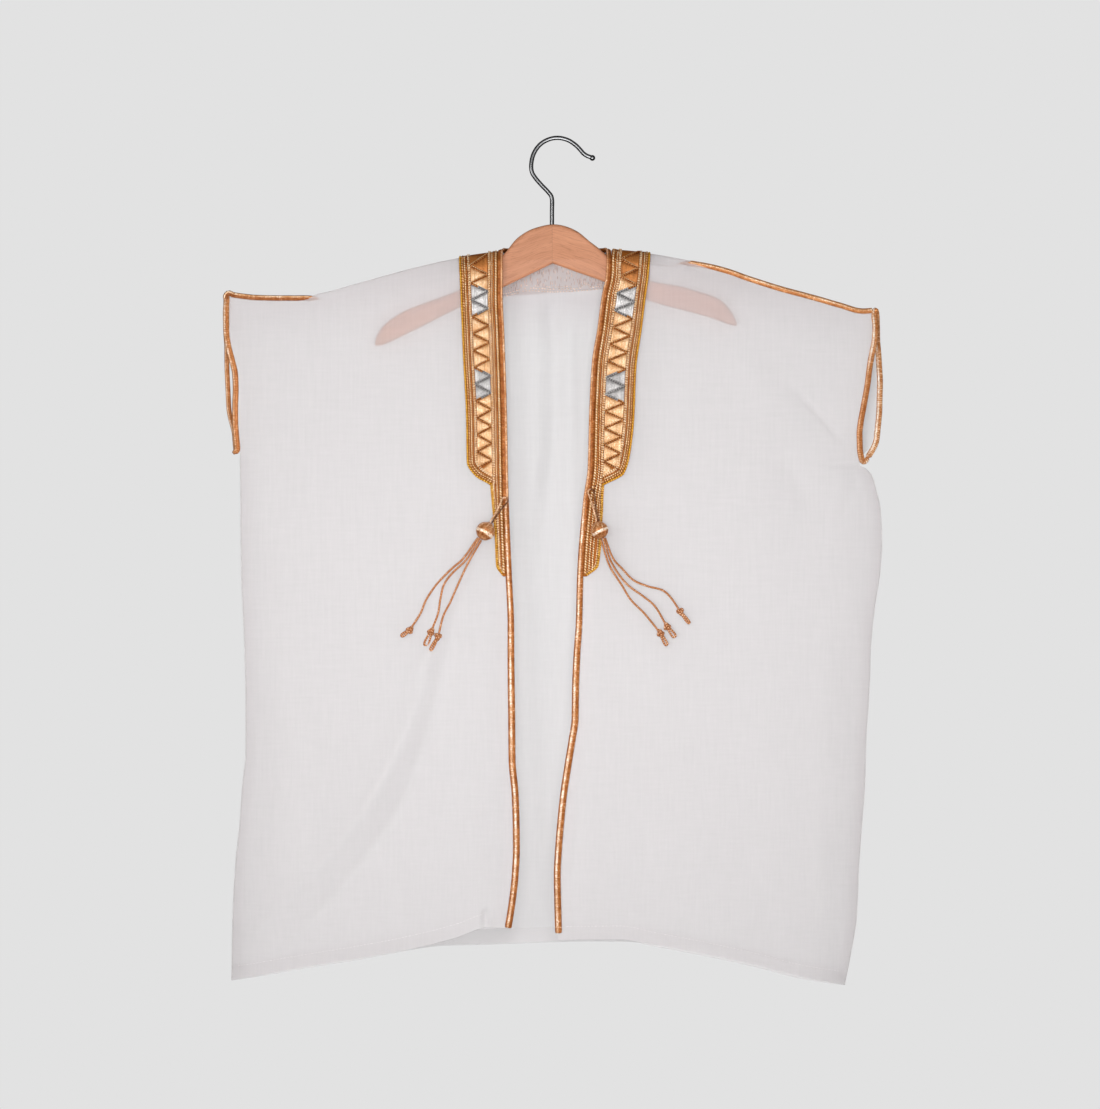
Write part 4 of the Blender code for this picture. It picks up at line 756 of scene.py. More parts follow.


# crown is the colour of the painted shade over the shoulders; close is how much the gaps shut there.
def voile(name, colour, sheer, through_light=0.26, weave=0.62, dense=0.0, crown=(0.985, 0.965, 0.972), close=0.06,
          neck=False):
    """Sheer plain-weave cloth: lit threads, light let through, and gaps between them."""
    made, node, link = tree(name)
    at = node("ShaderNodeTexCoord").outputs["Object"]
    split = node("ShaderNodeSeparateXYZ")
    link(at, split.inputs[0])
    turn = 2 * math.pi / (weave * MM)
    sway_x = noisy(node, link, place(node, link, (60, 60, 60)), 1.0, 2.0)
    sway = calc(node, link, "MULTIPLY", sway_x, 2.2)
    across = calc(node, link, "SINE", calc(node, link, "ADD", calc(node, link, "MULTIPLY", split.outputs["X"], turn), sway))
    down = calc(node, link, "SINE", calc(node, link, "ADD", calc(node, link, "MULTIPLY", split.outputs["Z"], turn * 0.94), sway))
    over = calc(node, link, "MULTIPLY", across, down)
    threads = calc(node, link, "MULTIPLY_ADD", over, 0.5, 0.5)
    # Slubs: a thicker thread now and then, along and across.
    slub_z = noisy(node, link, place(node, link, (45, 45, 1500)), 1.0, 2.0, 0.5)
    slub_x = noisy(node, link, place(node, link, (1300, 60, 24)), 1.0, 2.0, 0.5)
    slub = calc(node, link, "MULTIPLY_ADD", slub_z, 0.4, calc(node, link, "MULTIPLY", slub_x, 1.6))
    cloud = noisy(node, link, place(node, link, (14, 14, 9)), 1.0, 3.0, 0.55)
    tone = calc(node, link, "MULTIPLY_ADD", calc(node, link, "SUBTRACT", slub, 1.0), 0.012, 1.0)
    tone = calc(node, link, "MULTIPLY_ADD", calc(node, link, "SUBTRACT", cloud, 0.5), 0.020, tone)
    shade = blend_colour(node, link, 1.0, colour, tone, "MULTIPLY")
    # Painted shade: greyer where it lies over the shoulders, where the cloth turns away from the light.
    up = calc(node, link, "MULTIPLY_ADD", split.outputs["Z"], 14.3, 2.57, clamp=True)
    up = calc(node, link, "MULTIPLY", calc(node, link, "MULTIPLY", up, up),
              calc(node, link, "MULTIPLY_ADD", up, -2.0, 3.0), clamp=True)
    shut = up
    if neck:
        # The painted shade and the closing of the gaps lie only between the bands, and the painted shade is less again
        # where the band shows through.
        inner = calc(node, link, "MULTIPLY_ADD", calc(node, link, "ABSOLUTE", calc(node, link, "ADD", split.outputs["X"], 0.004)),
                     -40.0, 2.9, clamp=True)
        top = calc(node, link, "MULTIPLY_ADD", split.outputs["Z"], 80.0, 10.9, clamp=True)
        shut = calc(node, link, "MULTIPLY", up, inner)
        up = calc(node, link, "MULTIPLY", shut, calc(node, link, "MULTIPLY_ADD", top, -0.75, 1.0))
    shade = blend_colour(node, link, up, shade, crown, "MULTIPLY")
    bump = node("ShaderNodeBump", Strength=0.05, Distance=0.00012)
    height = calc(node, link, "MULTIPLY_ADD", slub, 0.3, calc(node, link, "MULTIPLY", threads, 0.5))
    link(height, bump.inputs["Height"])
    body = node("ShaderNodeBsdfPrincipled", Roughness=0.82)
    body.inputs["Specular IOR Level"].default_value = 0.22
    body.inputs["Sheen Weight"].default_value = 0.12
    body.inputs["Sheen Roughness"].default_value = 0.45
    link(shade, body.inputs["Base Color"])
    link(bump.outputs[0], body.inputs["Normal"])
    lit = node("ShaderNodeBsdfTranslucent")
    link(shade, lit.inputs["Color"])
    link(bump.outputs[0], lit.inputs["Normal"])
    solid = node("ShaderNodeMixShader", i0=through_light)
    link(body.outputs[0], solid.inputs[1])
    link(lit.outputs[0], solid.inputs[2])
    clear = node("ShaderNodeBsdfTransparent")
    gaps = calc(node, link, "MULTIPLY_ADD", calc(node, link, "SUBTRACT", slub, 1.0), -0.015, sheer - dense)
    gaps = calc(node, link, "MULTIPLY_ADD", shut, -close, gaps)
    warp = noisy(node, link, place(node, link, (520, 60, 50)), 1.0, 2.0, 0.5)
    weft = noisy(node, link, place(node, link, (50, 60, 520)), 1.0, 2.0, 0.5)
    for open_ in (warp, weft):
        gaps = calc(node, link, "MULTIPLY_ADD", calc(node, link, "SUBTRACT", open_, 0.5), 0.035, gaps)
    gaps = calc(node, link, "MULTIPLY_ADD", calc(node, link, "SUBTRACT", threads, 0.5), -0.03, gaps, clamp=True)
    out = node("ShaderNodeMixShader")
    link(gaps, out.inputs[0])
    link(solid.outputs[0], out.inputs[1])
    link(clear.outputs[0], out.inputs[2])
    end = node("ShaderNodeOutputMaterial")
    link(out.outputs[0], end.inputs["Surface"])
    return made


def zari(name, light, dark, metal=0.50, rough=0.36, fine=0.0, grain=1050.0, painted_highlight=None, spread=0.16):
    """Metal thread: its colour falls from a painted lit crest (light) to painted shade in the groove (dark), with a
    painted highlight at the top, and varies thread by thread.
    """
    made, node, link = tree(name)
    tone = node("ShaderNodeAttribute", _attribute_name="tone").outputs["Fac"]
    tint = node("ShaderNodeAttribute", _attribute_name="tint").outputs["Fac"]
    patch = noisy(node, link, place(node, link, (1, 1, 1)), 170.0, 3.0, 0.6)
    speck = noisy(node, link, place(node, link, (1, 1, 1)), grain, 2.0, 0.7)
    # The tone attribute brings the painted shade and highlight; patch and speck are the thread's own unevenness.
    painted_light_and_grain = calc(node, link, "MULTIPLY_ADD", calc(node, link, "SUBTRACT", speck, 0.5), 1.85,
                  calc(node, link, "MULTIPLY_ADD", calc(node, link, "SUBTRACT", patch, 0.5), 0.6, tone), clamp=True)
    colour = blend_colour(node, link, painted_light_and_grain, dark, light)
    if painted_highlight:
        # Painted highlight colour where the painted light is strongest.
        painted_highlight_share = calc(node, link, "MULTIPLY", calc(node, link, "SUBTRACT", painted_light_and_grain, 0.68, clamp=True), 2.6, clamp=True)
        colour = blend_colour(node, link, painted_highlight_share, colour, painted_highlight)
    vary = calc(node, link, "MULTIPLY_ADD", tint, spread, 1.0)
    colour = blend_colour(node, link, 1.0, colour, vary, "MULTIPLY")
    body = node("ShaderNodeBsdfPrincipled", Metallic=metal, Specular__IOR__Level=0.15)
    link(colour, body.inputs["Base Color"])
    rough_out = calc(node, link, "MULTIPLY_ADD", calc(node, link, "SUBTRACT", speck, 0.5), 0.30, rough, clamp=True)
    link(rough_out, body.inputs["Roughness"])
    bump = node("ShaderNodeBump", Strength=0.35, Distance=0.00012)
    height = speck
    if fine:
        split = node("ShaderNodeSeparateXYZ")
        link(node("ShaderNodeTexCoord").outputs["Object"], split.inputs[0])
        wave = calc(node, link, "SINE", calc(node, link, "MULTIPLY", split.outputs["Z"], 2 * math.pi / (fine * MM)))
        height = calc(node, link, "MULTIPLY_ADD", wave, 0.35, speck)
    link(height, bump.inputs["Height"])
    link(bump.outputs[0], body.inputs["Normal"])
    end = node("ShaderNodeOutputMaterial")
    link(body.outputs[0], end.inputs["Surface"])
    return made


def beech_wood():
    """Pale sealed wood in two halves that meet at a joint, the grain along each arm."""
    made, node, link = tree("wood_beech")
    at = node("ShaderNodeTexCoord").outputs["Object"]
    split = node("ShaderNodeSeparateXYZ")
    link(at, split.inputs[0])
    from_joint = calc(node, link, "ADD", split.outputs["X"], 0.0049)
    half = calc(node, link, "GREATER_THAN", from_joint, 0.0)
    u = calc(node, link, "ABSOLUTE", from_joint)
    # The grain rises towards the crown and follows each arm down.
    lean = math.radians(20)
    along = calc(node, link, "SUBTRACT", calc(node, link, "MULTIPLY", u, math.cos(lean)),
                 calc(node, link, "MULTIPLY", split.outputs["Z"], math.sin(lean)))
    across = calc(node, link, "ADD", calc(node, link, "MULTIPLY", u, math.sin(lean)),
                  calc(node, link, "MULTIPLY", split.outputs["Z"], math.cos(lean)))
    bend = noisy(node, link, place(node, link, (1, 1, 1)), 22.0, 1.5, 0.4)
    across = calc(node, link, "MULTIPLY_ADD", calc(node, link, "SUBTRACT", bend, 0.5), 0.012, across)
    pack = node("ShaderNodeCombineXYZ")
    link(along, pack.inputs[0])
    link(calc(node, link, "MULTIPLY_ADD", half, 0.37, split.outputs["Y"]), pack.inputs[1])
    link(across, pack.inputs[2])

    def stretched(scale, detail, rough=0.6):
        grow = node("ShaderNodeMapping")
        grow.inputs["Scale"].default_value = scale
        link(pack.outputs[0], grow.inputs["Vector"])
        return noisy(node, link, grow.outputs[0], 1.0, detail, rough)

    broad = stretched((14, 160, 190), 3.0, 0.5)
    fine = stretched((60, 600, 1250), 3.0, 0.65)
    fleck = stretched((240, 900, 1900), 2.0, 0.5)
    base = blend_colour(node, link, calc(node, link, "MULTIPLY_ADD", calc(node, link, "SUBTRACT", broad, 0.5), 1.6, 0.5, clamp=True),
                        (0.500, 0.208, 0.102), (0.655, 0.300, 0.166))
    base = blend_colour(node, link, calc(node, link, "MULTIPLY", calc(node, link, "SUBTRACT", fine, 0.50, clamp=True), 3.6, clamp=True),
                        base, (0.36, 0.135, 0.062))
    dash = calc(node, link, "MULTIPLY", calc(node, link, "SUBTRACT", fleck, 0.60, clamp=True), 6.0, clamp=True)
    base = blend_colour(node, link, calc(node, link, "MULTIPLY", dash, 0.45), base, (0.30, 0.105, 0.045))
    tip = calc(node, link, "MULTIPLY_ADD", split.outputs["X"], 33.0, -2.0, clamp=True)
    base = blend_colour(node, link, calc(node, link, "MULTIPLY", tip, 0.25), base, (0.54, 0.40, 0.39))
    side = calc(node, link, "MULTIPLY_ADD", half, 0.045, 0.985)
    base = blend_colour(node, link, 1.0, base, side, "MULTIPLY")
    joint = calc(node, link, "LESS_THAN", u, 0.00016)
    base = blend_colour(node, link, calc(node, link, "MULTIPLY", joint, 0.45), base, (0.25, 0.10, 0.05))
    body = node("ShaderNodeBsdfPrincipled", Roughness=0.46)
    body.inputs["Coat Weight"].default_value = 0.12
    body.inputs["Coat Roughness"].default_value = 0.35
    body.inputs["Specular IOR Level"].default_value = 0.35
    link(base, body.inputs["Base Color"])
    bump = node("ShaderNodeBump", Strength=0.18, Distance=0.00015)
    link(calc(node, link, "SUBTRACT", calc(node, link, "MULTIPLY", fine, -1.0), calc(node, link, "MULTIPLY", joint, 2.0)),
         bump.inputs["Height"])
    link(bump.outputs[0], body.inputs["Normal"])
    end = node("ShaderNodeOutputMaterial")
    link(body.outputs[0], end.inputs["Surface"])
    return made


def plated_steel():
    made, node, link = tree("steel_plated")
    soft = noisy(node, link, place(node, link, (1, 1, 1)), 420.0, 3.0, 0.6)
    draw = noisy(node, link, place(node, link, (3000, 3000, 160)), 1.0, 2.0, 0.5)
    body = node("ShaderNodeBsdfPrincipled", Metallic=1.0)
    colour = blend_colour(node, link, soft, (0.255, 0.258, 0.264), (0.280, 0.283, 0.289))
    # Painted reflection: the rims are darkened by the facing angle, standing in for the dim room the bright plating
    # would reflect there.
    rim = calc(node, link, "MULTIPLY", calc(node, link, "SUBTRACT", node("ShaderNodeLayerWeight", Blend=0.5).outputs["Facing"],
                                            0.040, clamp=True), 7.5, clamp=True)
    colour = blend_colour(node, link, rim, colour, (0.006, 0.006, 0.007))
    link(colour, body.inputs["Base Color"])
    link(calc(node, link, "MULTIPLY_ADD", soft, 0.03, 0.20), body.inputs["Roughness"])
    bump = node("ShaderNodeBump", Strength=0.001, Distance=0.00001)
    link(draw, bump.inputs["Height"])
    link(bump.outputs[0], body.inputs["Normal"])
    end = node("ShaderNodeOutputMaterial")
    link(body.outputs[0], end.inputs["Surface"])
    return made


VOILE = voile("voile_white", (0.864, 0.831, 0.838), 0.47)
# The back sheet gets a deeper painted shade at the top, under the hanger.
VOILE_BACK = voile("voile_back", (0.862, 0.838, 0.848), 0.36, crown=(0.850, 0.820, 0.835), close=0.22, neck=True)
VOILE_HEM = voile("voile_turned", (0.864, 0.831, 0.838), 0.76)
STITCH = zari("thread_white", (0.70, 0.675, 0.675), (0.62, 0.595, 0.595), metal=0.0, rough=0.7)
CREAM = zari("thread_cream", (0.86, 0.74, 0.68), (0.70, 0.56, 0.50), metal=0.0, rough=0.6)
ROSE = zari("thread_rose", (0.66, 0.535, 0.51), (0.56, 0.43, 0.40), metal=0.0, rough=0.7)
COPPER = zari("zari_copper", (0.70, 0.28, 0.065), (0.16, 0.038, 0.005), metal=0.28, painted_highlight=(1.0, 0.73, 0.42))
DARK = zari("zari_dark_copper", (0.50, 0.130, 0.012), (0.14, 0.030, 0.003), metal=0.28, painted_highlight=(0.90, 0.46, 0.17))
UMBER = zari("zari_umber", (0.36, 0.100, 0.014), (0.11, 0.024, 0.003), metal=0.28, painted_highlight=(0.76, 0.36, 0.13))
PALE = zari("zari_pale_gold", (0.94, 0.58, 0.25), (0.30, 0.090, 0.012), metal=0.20, painted_highlight=(1.0, 0.93, 0.74))
GOLD = zari("zari_satin_gold", (0.74, 0.450, 0.232), (0.42, 0.165, 0.045), metal=0.22, rough=0.38, painted_highlight=(0.92, 0.71, 0.49))
# Painted shade: a darker copy of the satin gold, for triangles that lie in shade at the shoulder's fold.
SHADE = zari("zari_satin_gold_painted_shade", (0.50, 0.185, 0.046), (0.18, 0.050, 0.009), metal=0.28)
SILVER = zari("zari_satin_silver", (0.57, 0.545, 0.535), (0.25, 0.24, 0.235), metal=0.25, rough=0.38, painted_highlight=(0.84, 0.815, 0.805))
GREY = zari("zari_grey", (0.23, 0.215, 0.21), (0.07, 0.065, 0.065), metal=0.3, rough=0.36, painted_highlight=(0.56, 0.54, 0.53))
MUSTARD = zari("zari_mustard", (0.76, 0.35, 0.012), (0.34, 0.110, 0.003), metal=0.20, painted_highlight=(1.0, 0.70, 0.16))
GROUND = zari("zari_ground", (0.42, 0.130, 0.018), (0.16, 0.040, 0.005), metal=0.28, rough=0.5)
PLY_DARK = zari("braid_copper_ply", (0.66, 0.245, 0.065), (0.20, 0.050, 0.008), metal=0.25, rough=0.34, painted_highlight=(1.0, 0.70, 0.44))
PLY_DULL = zari("braid_dull_ply", (0.54, 0.200, 0.066), (0.20, 0.054, 0.012), metal=0.22, rough=0.44, painted_highlight=(0.80, 0.52, 0.33))
PLY_WARM = zari("braid_warm_ply", (0.86, 0.39, 0.150), (0.32, 0.090, 0.018), metal=0.22, rough=0.34, painted_highlight=(1.0, 0.80, 0.56))
PLY_PLAIN = zari("braid_plain_ply", (0.86, 0.46, 0.210), (0.38, 0.120, 0.030), metal=0.22, rough=0.34, painted_highlight=(1.0, 0.86, 0.66))
PLY_LIGHT = zari("braid_gold_ply", (0.94, 0.60, 0.36), (0.44, 0.150, 0.038), metal=0.20, rough=0.30, painted_highlight=(1.0, 0.97, 0.88))
CORD_MAT = zari("cord_copper", (0.60, 0.262, 0.110), (0.32, 0.100, 0.026), metal=0.18, rough=0.42, painted_highlight=(0.92, 0.62, 0.40))
# Its near-black dark colour paints the shade of the loop's first leg and of its grooves.
LOOP_MAT = zari("cord_loop", (0.68, 0.34, 0.165), (0.060, 0.012, 0.003), metal=0.2, rough=0.38, painted_highlight=(0.96, 0.68, 0.46))
WOOD_MAT = beech_wood()
STEEL = plated_steel()

# ------------------------------------------------------------------ camera
DISTANCE = 4.5
camera = bpy.data.objects.new("camera", bpy.data.cameras.new("camera"))
bpy.context.scene.collection.objects.link(camera)
camera.data.sensor_width = 36.0
camera.data.lens = 36.0 * DISTANCE / 0.94265
camera.location = (-0.0068, -DISTANCE, -0.352325)
camera.rotation_euler = (math.radians(90), 0, 0)
camera.data.clip_start, camera.data.clip_end = 0.1, 60
bpy.context.scene.camera = camera


# ------------------------------------------------------------------ hanger
def drawn_in(loop, inward, d):
    """A loop moved in by d; places that would cross the far side stop at the nearest that don't."""
    moved = loop + inward * d
    if d < 1e-6:
        return moved
    nxt = np.roll(loop, -1, 0)
    way = nxt - loop
    along = ((moved[:, None] - loop[None]) * way[None]).sum(2) / (way ** 2).sum(1)[None]
    foot = loop[None] + np.clip(along, 0, 1)[..., None] * way[None]
    gap = np.linalg.norm(moved[:, None] - foot, axis=2).min(1)
    good = np.where(gap > d * 0.975)[0]
    count = len(loop)
    for i in np.where(gap <= d * 0.975)[0]:
        away = np.abs(good - i)
        moved[i] = moved[good[np.argmin(np.minimum(away, count - away))]]
    return moved


def build_hanger():
    # The outline starts and ends at the notch where the halves meet, which stays crisp.
    at = WOOD_OUTLINE.index((-4.2, -105.4))
    outline = [(-4.4, -104.9)] + [(-24.5, -114.6)] + WOOD_OUTLINE[at + 1:] + WOOD_OUTLINE[:at] + [(17.0, -112.6)] + [(-4.4, -104.9)]
    fine = through([(x, 0, z) for x, z in outline], 1.5)[:-1]
    count = len(fine)
    tangent = unit(np.roll(fine, -1, 0) - np.roll(fine, 1, 0))
    inward = np.cross(tangent, (0, 1, 0))
    centre = np.array([-4.9, 0, -95.0])
    nearest = int(np.argmin(np.linalg.norm(fine - np.array([-4.9, 0, -71.8]), axis=1)))
    if inward[nearest] @ (centre - fine[nearest]) < 0:
        inward = -inward
    rings = []
    for face in (-1, 1):
        for k in range(6) if face < 0 else range(5, -1, -1):
            a = math.pi / 2 * (5 - k) / 5
            spot = drawn_in(fine, inward, WOOD_ROUND * (1 - math.cos(a)))
            spot = spot + np.array([0, face * (WOOD / 2 - WOOD_ROUND + WOOD_ROUND * math.sin(a)), 0])
            rings.append(spot)
    points = np.stack(rings, 0)
    piece = Piece()
    rows = len(rings)
    piece.add(points.reshape(-1, 3), [strip_faces(rows, count, around=True)])
    # Both faces are filled between the innermost rings.
    face_ring = rings[0]
    keep = [0]
    for k in range(1, count):
        if np.linalg.norm(face_ring[k] - face_ring[keep[-1]]) > 0.05 and np.linalg.norm(face_ring[k] - face_ring[0]) > 0.05:
            keep.append(k)
    from mathutils import Vector
    from mathutils.geometry import tessellate_polygon

    fill = tessellate_polygon([[Vector((face_ring[k][0], face_ring[k][2], 0)) for k in keep]])
    fill = np.array([[keep[i] for i in tri] for tri in fill])
    for face, base in ((-1, 0), (1, (rows - 1) * count)):
        flat = points.reshape(-1, 3)[base:base + count]
        piece.add(flat, [fill if face < 0 else fill[:, ::-1]])
    mesh = piece.make("hanger_wood", [WOOD_MAT])
    weld(mesh)
    mesh.data.set_sharp_from_angle(angle=math.radians(40))
    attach(mesh, "root")
    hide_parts("hanger_body")

    line = through([(x, 0, z) for x, z in HOOK_LINE], 1.0)
    radii = np.full(len(line), WIRE / 2)
    tip, towards = line[-1], unit(line[-1] - line[-2])
    ball = []
    for k in range(13):
        a = math.pi * (0.25 + 0.745 * k / 12)
        ball.append((tip - towards * math.cos(a) * WIRE_BALL / 2, max(math.sin(a) * WIRE_BALL / 2, 0.05)))
    keep = np.linalg.norm(line - tip, axis=1) > WIRE_BALL / 2 * 0.75
    line, radii = line[keep], radii[keep]
    line = np.vstack([line, [b[0] for b in ball]])
    radii = np.concatenate([radii, [b[1] for b in ball]])
    hook = Piece()
    tube(hook, line, radii, frames_on(line, (0, 1, 0)), sides=24)
    made = hook.make("hook_wire", [STEEL])
    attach(made, "root")
    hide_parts("hanger_hook")
    return mesh


# ------------------------------------------------------------------ cloth
def front_grid(s):
    """x and z over one front sheet: rows from the top down, columns from the side in."""
    sg = SIGN[s]
    rows, cols = int(590 / SHEET_STEP), int(238 / SHEET_STEP)
    u = np.linspace(0, 1, cols + 1)
    # Closer columns at the side, where the cloth rolls over.
    u = np.concatenate([[0, 0.0018, 0.0045], u[1:]])
    v = np.linspace(0, 1, rows + 1)
    v = np.concatenate([[0, 0.0006, 0.0014], v[1:]])
    top_z, foot_z = -94.0, -674.0
    inset = 2.6
    z_guess = mix(top_z, foot_z, v)
    xe = front_edge[s](z_guess) + sg * inset
    xs_top = side_x[s, "front"](-131 if s == "L" else -144)
    zc = cloth_top(s, xs_top)
    z_side = mix(zc, SIDE_FOOT[s], v)
    xs = side_x[s, "front"](z_side)
    x = mix(xs[:, None], xe[:, None], u[None])
    head, foot = mix(xs[0], xe[0], u), mix(xs[-1], xe[-1], u)
    z = mix(cloth_top(s, head)[None], hem[s](foot)[None], v[:, None])
    return x, z


def panel_sheet(name, panel, x, z, gaps, material, facings=(), seams=()):
    """The sheet itself, its turned-up hem, and the layers turned in at its edges."""
    face = 1.0 if panel == "back" else -1.0
    form = back_off if panel == "back" else (lambda a, b: front_off(panel, a, b))
    piece = Piece()
    y = face * form(x, z)
    hem_rows = 7
    wobble = 0.35 * noise(91, x[-1], x[-1] * 0, 9, 9) + 0.5 * noise(92, x[-1], x[-1] * 0, 31, 9)
    fold = []
    fold.append(np.stack([x[-1], y[-1] - face * 0.35, z[-1] - 0.3], -1))
    for k in range(hem_rows):
        zz = z[-1] + (HEM_TURN + wobble) * k / (hem_rows - 1)
        fold.append(np.stack([x[-1], face * (form(x[-1], zz) - 0.75 - 0.12 * (k == hem_rows - 1)), zz], -1))
    flip = panel == "R" or panel == "back"
    grid = np.stack([x, y, z], -1)
    piece.add(grid.reshape(-1, 3), strip_faces(*grid.shape[:2], flip=flip))
    turned = np.concatenate([grid[-1:], np.stack(fold, 0)], 0)
    piece.add(turned.reshape(-1, 3), strip_faces(*turned.shape[:2], flip=flip), 1)
    for xx, zz, back in facings:
        off = np.maximum(form(xx, zz) - back, -0.2)
        block = np.stack([xx, face * off, zz], -1)
        piece.add(block.reshape(-1, 3), strip_faces(*block.shape[:2]), 1 if back < 0.5 else 0)
    made = piece.make(name, [material, VOILE_HEM])
    return made


def layer(x_from, x_to, z, count, ragged=0.0, seed=5):
    """A narrow inner layer between two lines of x over z."""
    t = np.linspace(0, 1, count)
    if ragged:
        x_to = x_to + ragged * noise(seed, z, z * 0, 7, 9)
    return mix(x_from[:, None], x_to[:, None], t[None]), np.repeat(z[:, None], count, 1)


def stitches(piece, path, normals, long=2.1, gap=0.9, thick=0.18, slot=0, seed=3):
    """A line of machine stitches: short threads that dip at both ends."""
    rng = np.random.RandomState(seed)
    data = evenly_by(np.column_stack([path, normals]), long + gap)
    spots, outs = data[:, :3], unit(data[:, 3:])
    tangent, n, w = frames_on(spots, outs)
    sides = 5
    angle = np.linspace(0, 2 * math.pi, sides, endpoint=False)
    t = np.array([-0.5, -0.3, 0.3, 0.5])
    r = np.array([0.35, 1.0, 1.0, 0.35]) * thick / 2
    h = np.array([-0.25, 0.1, 0.1, -0.25]) * thick
    for k in range(len(spots)):
        lean = rng.uniform(-0.05, 0.05)
        a = tangent[k] + w[k] * lean
        body = (spots[k] + a * (t * long)[:, None] + n[k] * h[:, None])[:, None]
        body = body + w[k] * (np.cos(angle)[None] * r[:, None])[..., None]
        body = body + n[k] * (np.sin(angle)[None] * r[:, None])[..., None]
        piece.add(body.reshape(-1, 3), strip_faces(4, sides, around=True), slot, 0.9, rng.uniform(-1, 1))


def build_cloth(rest):
    sheets = {}
    for s in "LR":
        sg = SIGN[s]
        x, z = front_grid(s)
        zz = np.arange(-104.0, -664.0, -3.0)
        inner = front_edge[s](zz) + sg * 3.0
        facing = layer(inner, inner + sg * FACING, zz, 5, 0.35, 61 if s == "L" else 62)
        zs = np.arange(SIDE_SEAM_TOP[s] - 2, SIDE_FOOT[s] + 4, -3.0)
        edge = side_x[s, "front"](zs) - sg * 0.3
        turn_in = layer(edge, edge - sg * SIDE_TURN_IN, zs, 5, 0.4, 71 if s == "L" else 72)
        made = panel_sheet("cloak_front_" + s, s, x, z, None, VOILE, [(*facing, 0.55), (*turn_in, 0.45)])
        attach(made, "root")
        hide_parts("front_panel_" + s)
        sheets[s] = made
    # The back sheet runs from side to side, its neckline cut behind the hanger.
    cols, rows = int(548 / (SHEET_STEP + 0.25)), int(600 / (SHEET_STEP + 0.2))
    u = np.linspace(0, 1, cols + 1)
    u = np.concatenate([[0, 0.0008, 0.002], u[1:-1], [0.998, 0.9992, 1]])
    v = np.linspace(0, 1, rows + 1)
    v = np.concatenate([[0, 0.0006, 0.0014], v[1:]])
    head = mix(LEFT_X, RIGHT_X, u)
    z_left = mix(cloth_top("L", LEFT_X), SIDE_FOOT["L"], v)
    z_right = mix(cloth_top("R", RIGHT_X), SIDE_FOOT["R"], v)
    xl, xr = side_x["L", "back"](z_left), side_x["R", "back"](z_right)
    x = mix(xl[:, None], xr[:, None], u[None])
    foot = mix(xl[-1], xr[-1], u)
    z = mix(back_tops(head)[1][None], hem["back"](foot)[None], v[:, None])
    layers = []
    for s in "LR":
        sg = SIGN[s]
        zs = np.arange(SIDE_SEAM_TOP[s] - 2, SIDE_FOOT[s] + 4, -3.0)
        edge = side_x[s, "back"](zs) - sg * 0.3
        layers.append((*layer(edge, edge - sg * SIDE_TURN_IN, zs, 5, 0.4, 81 if s == "L" else 82), 0.45))
    made = panel_sheet("cloak_back", "back", x, z, None, VOILE_BACK, layers)
    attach(made, "root")
    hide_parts("back_panel")
    sheets["back"] = made

    sewn = Piece()
    for panel, x0, x1 in (("L", -271, -64), ("R", 8, 239), ("back", -272, 239)):
        xs = np.arange(x0, x1, 1.5)
        zs = hem[panel](xs) + HEM_TURN - 1.6
        spots, outs = lift(panel, xs, zs, 0.10)
        stitches(sewn, spots, outs, seed=7 + len(panel))
    made = sewn.make("hem_stitches", [STITCH])
    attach(made, "root")
    # Inside, the thread that holds the neck band shows as a dotted row and faint columns.
    inside = Piece()
    row = curve([(-49, -131.2), (-45.5, -130.9), (-36, -128.6), (-25.5, -126.2), (-4, -127.3), (12, -126.8), (37, -124.9), (40, -124.7)])
    rng = np.random.RandomState(12)

    def thread(x, z, dx, dz, size, slot):
        share = np.array([-0.5, -0.22, 0.22, 0.5])
        ends = np.stack([x + dx * share, z + dz * share], -1)
        spots = np.stack([ends[:, 0], back_off(ends[:, 0], ends[:, 1]) - 0.30, ends[:, 1]], -1)
        tube(inside, spots, np.array([0.35, 1, 1, 0.35]) * size / 2, frames_on(spots, (0, -1, 0)), 6, high=0.6, slot=slot,
             tone=rng.uniform(0.5, 1.0), tint=rng.uniform(-1, 1))

    for level, size in ((0.8, 1.5), (-1.5, 1.2), (2.9, 0.9)):
        x = -46.5 + rng.uniform(0, 1)
        while x < 39:
            if rng.uniform() > (0.12 if level < 2 else 0.4):
                thread(x, float(row(x)) + level + rng.uniform(-0.25, 0.25), 1.5, rng.uniform(-0.7, 0.7), size * rng.uniform(0.75, 1.05), 0)
            x += rng.uniform(2.0, 3.0)
    for _ in range(300):
        x = rng.uniform(-45, 38)
        z_top = float(np.interp(x, [-46, -4.4, 38], [-124.0, -104.5, -119.0])) + 4.0
        z_low = float(row(x)) + 2.0
        if z_top - z_low < 1.5:
            continue
        z = rng.uniform(z_low, z_top)
        thread(x, z, rng.uniform(-0.3, 0.3), rng.uniform(1.4, 4.2), rng.uniform(0.3, 0.6), 0 if rng.uniform() < 0.35 else 1)
    lining = inside.make("neck_inner_stitches", [CREAM, ROSE])
    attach(lining, "root")
    # A narrow ridge of stitched cloth closes each side seam.
    for s in "LR":
        zs = np.arange(SIDE_SEAM_TOP[s] - 4, SIDE_FOOT[s], -1.2)
        xs = side_x[s, "front"](zs) - SIGN[s] * 0.1
        path = np.stack([xs, 0.05 * noise(5, zs, zs * 0, 9, 9), zs], -1)
        seam = Piece()
        _, n, w = frames_on(path, (0, -1, 0))
        r = 0.38 + 0.07 * np.sin(np.arange(len(path)) * 2.2)
        tube(seam, path, r, (None, n, w), sides=6, wide=0.9)
        closed = seam.make("side_seam_" + s, [STITCH])
        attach(closed, "root")
        sheets["seam_" + s] = closed
    sheets["hem"] = made
    return sheets


# ------------------------------------------------------------------ embroidery
GROUND_OFF = 0.95  # top of the band's stiff ground, off the sheet
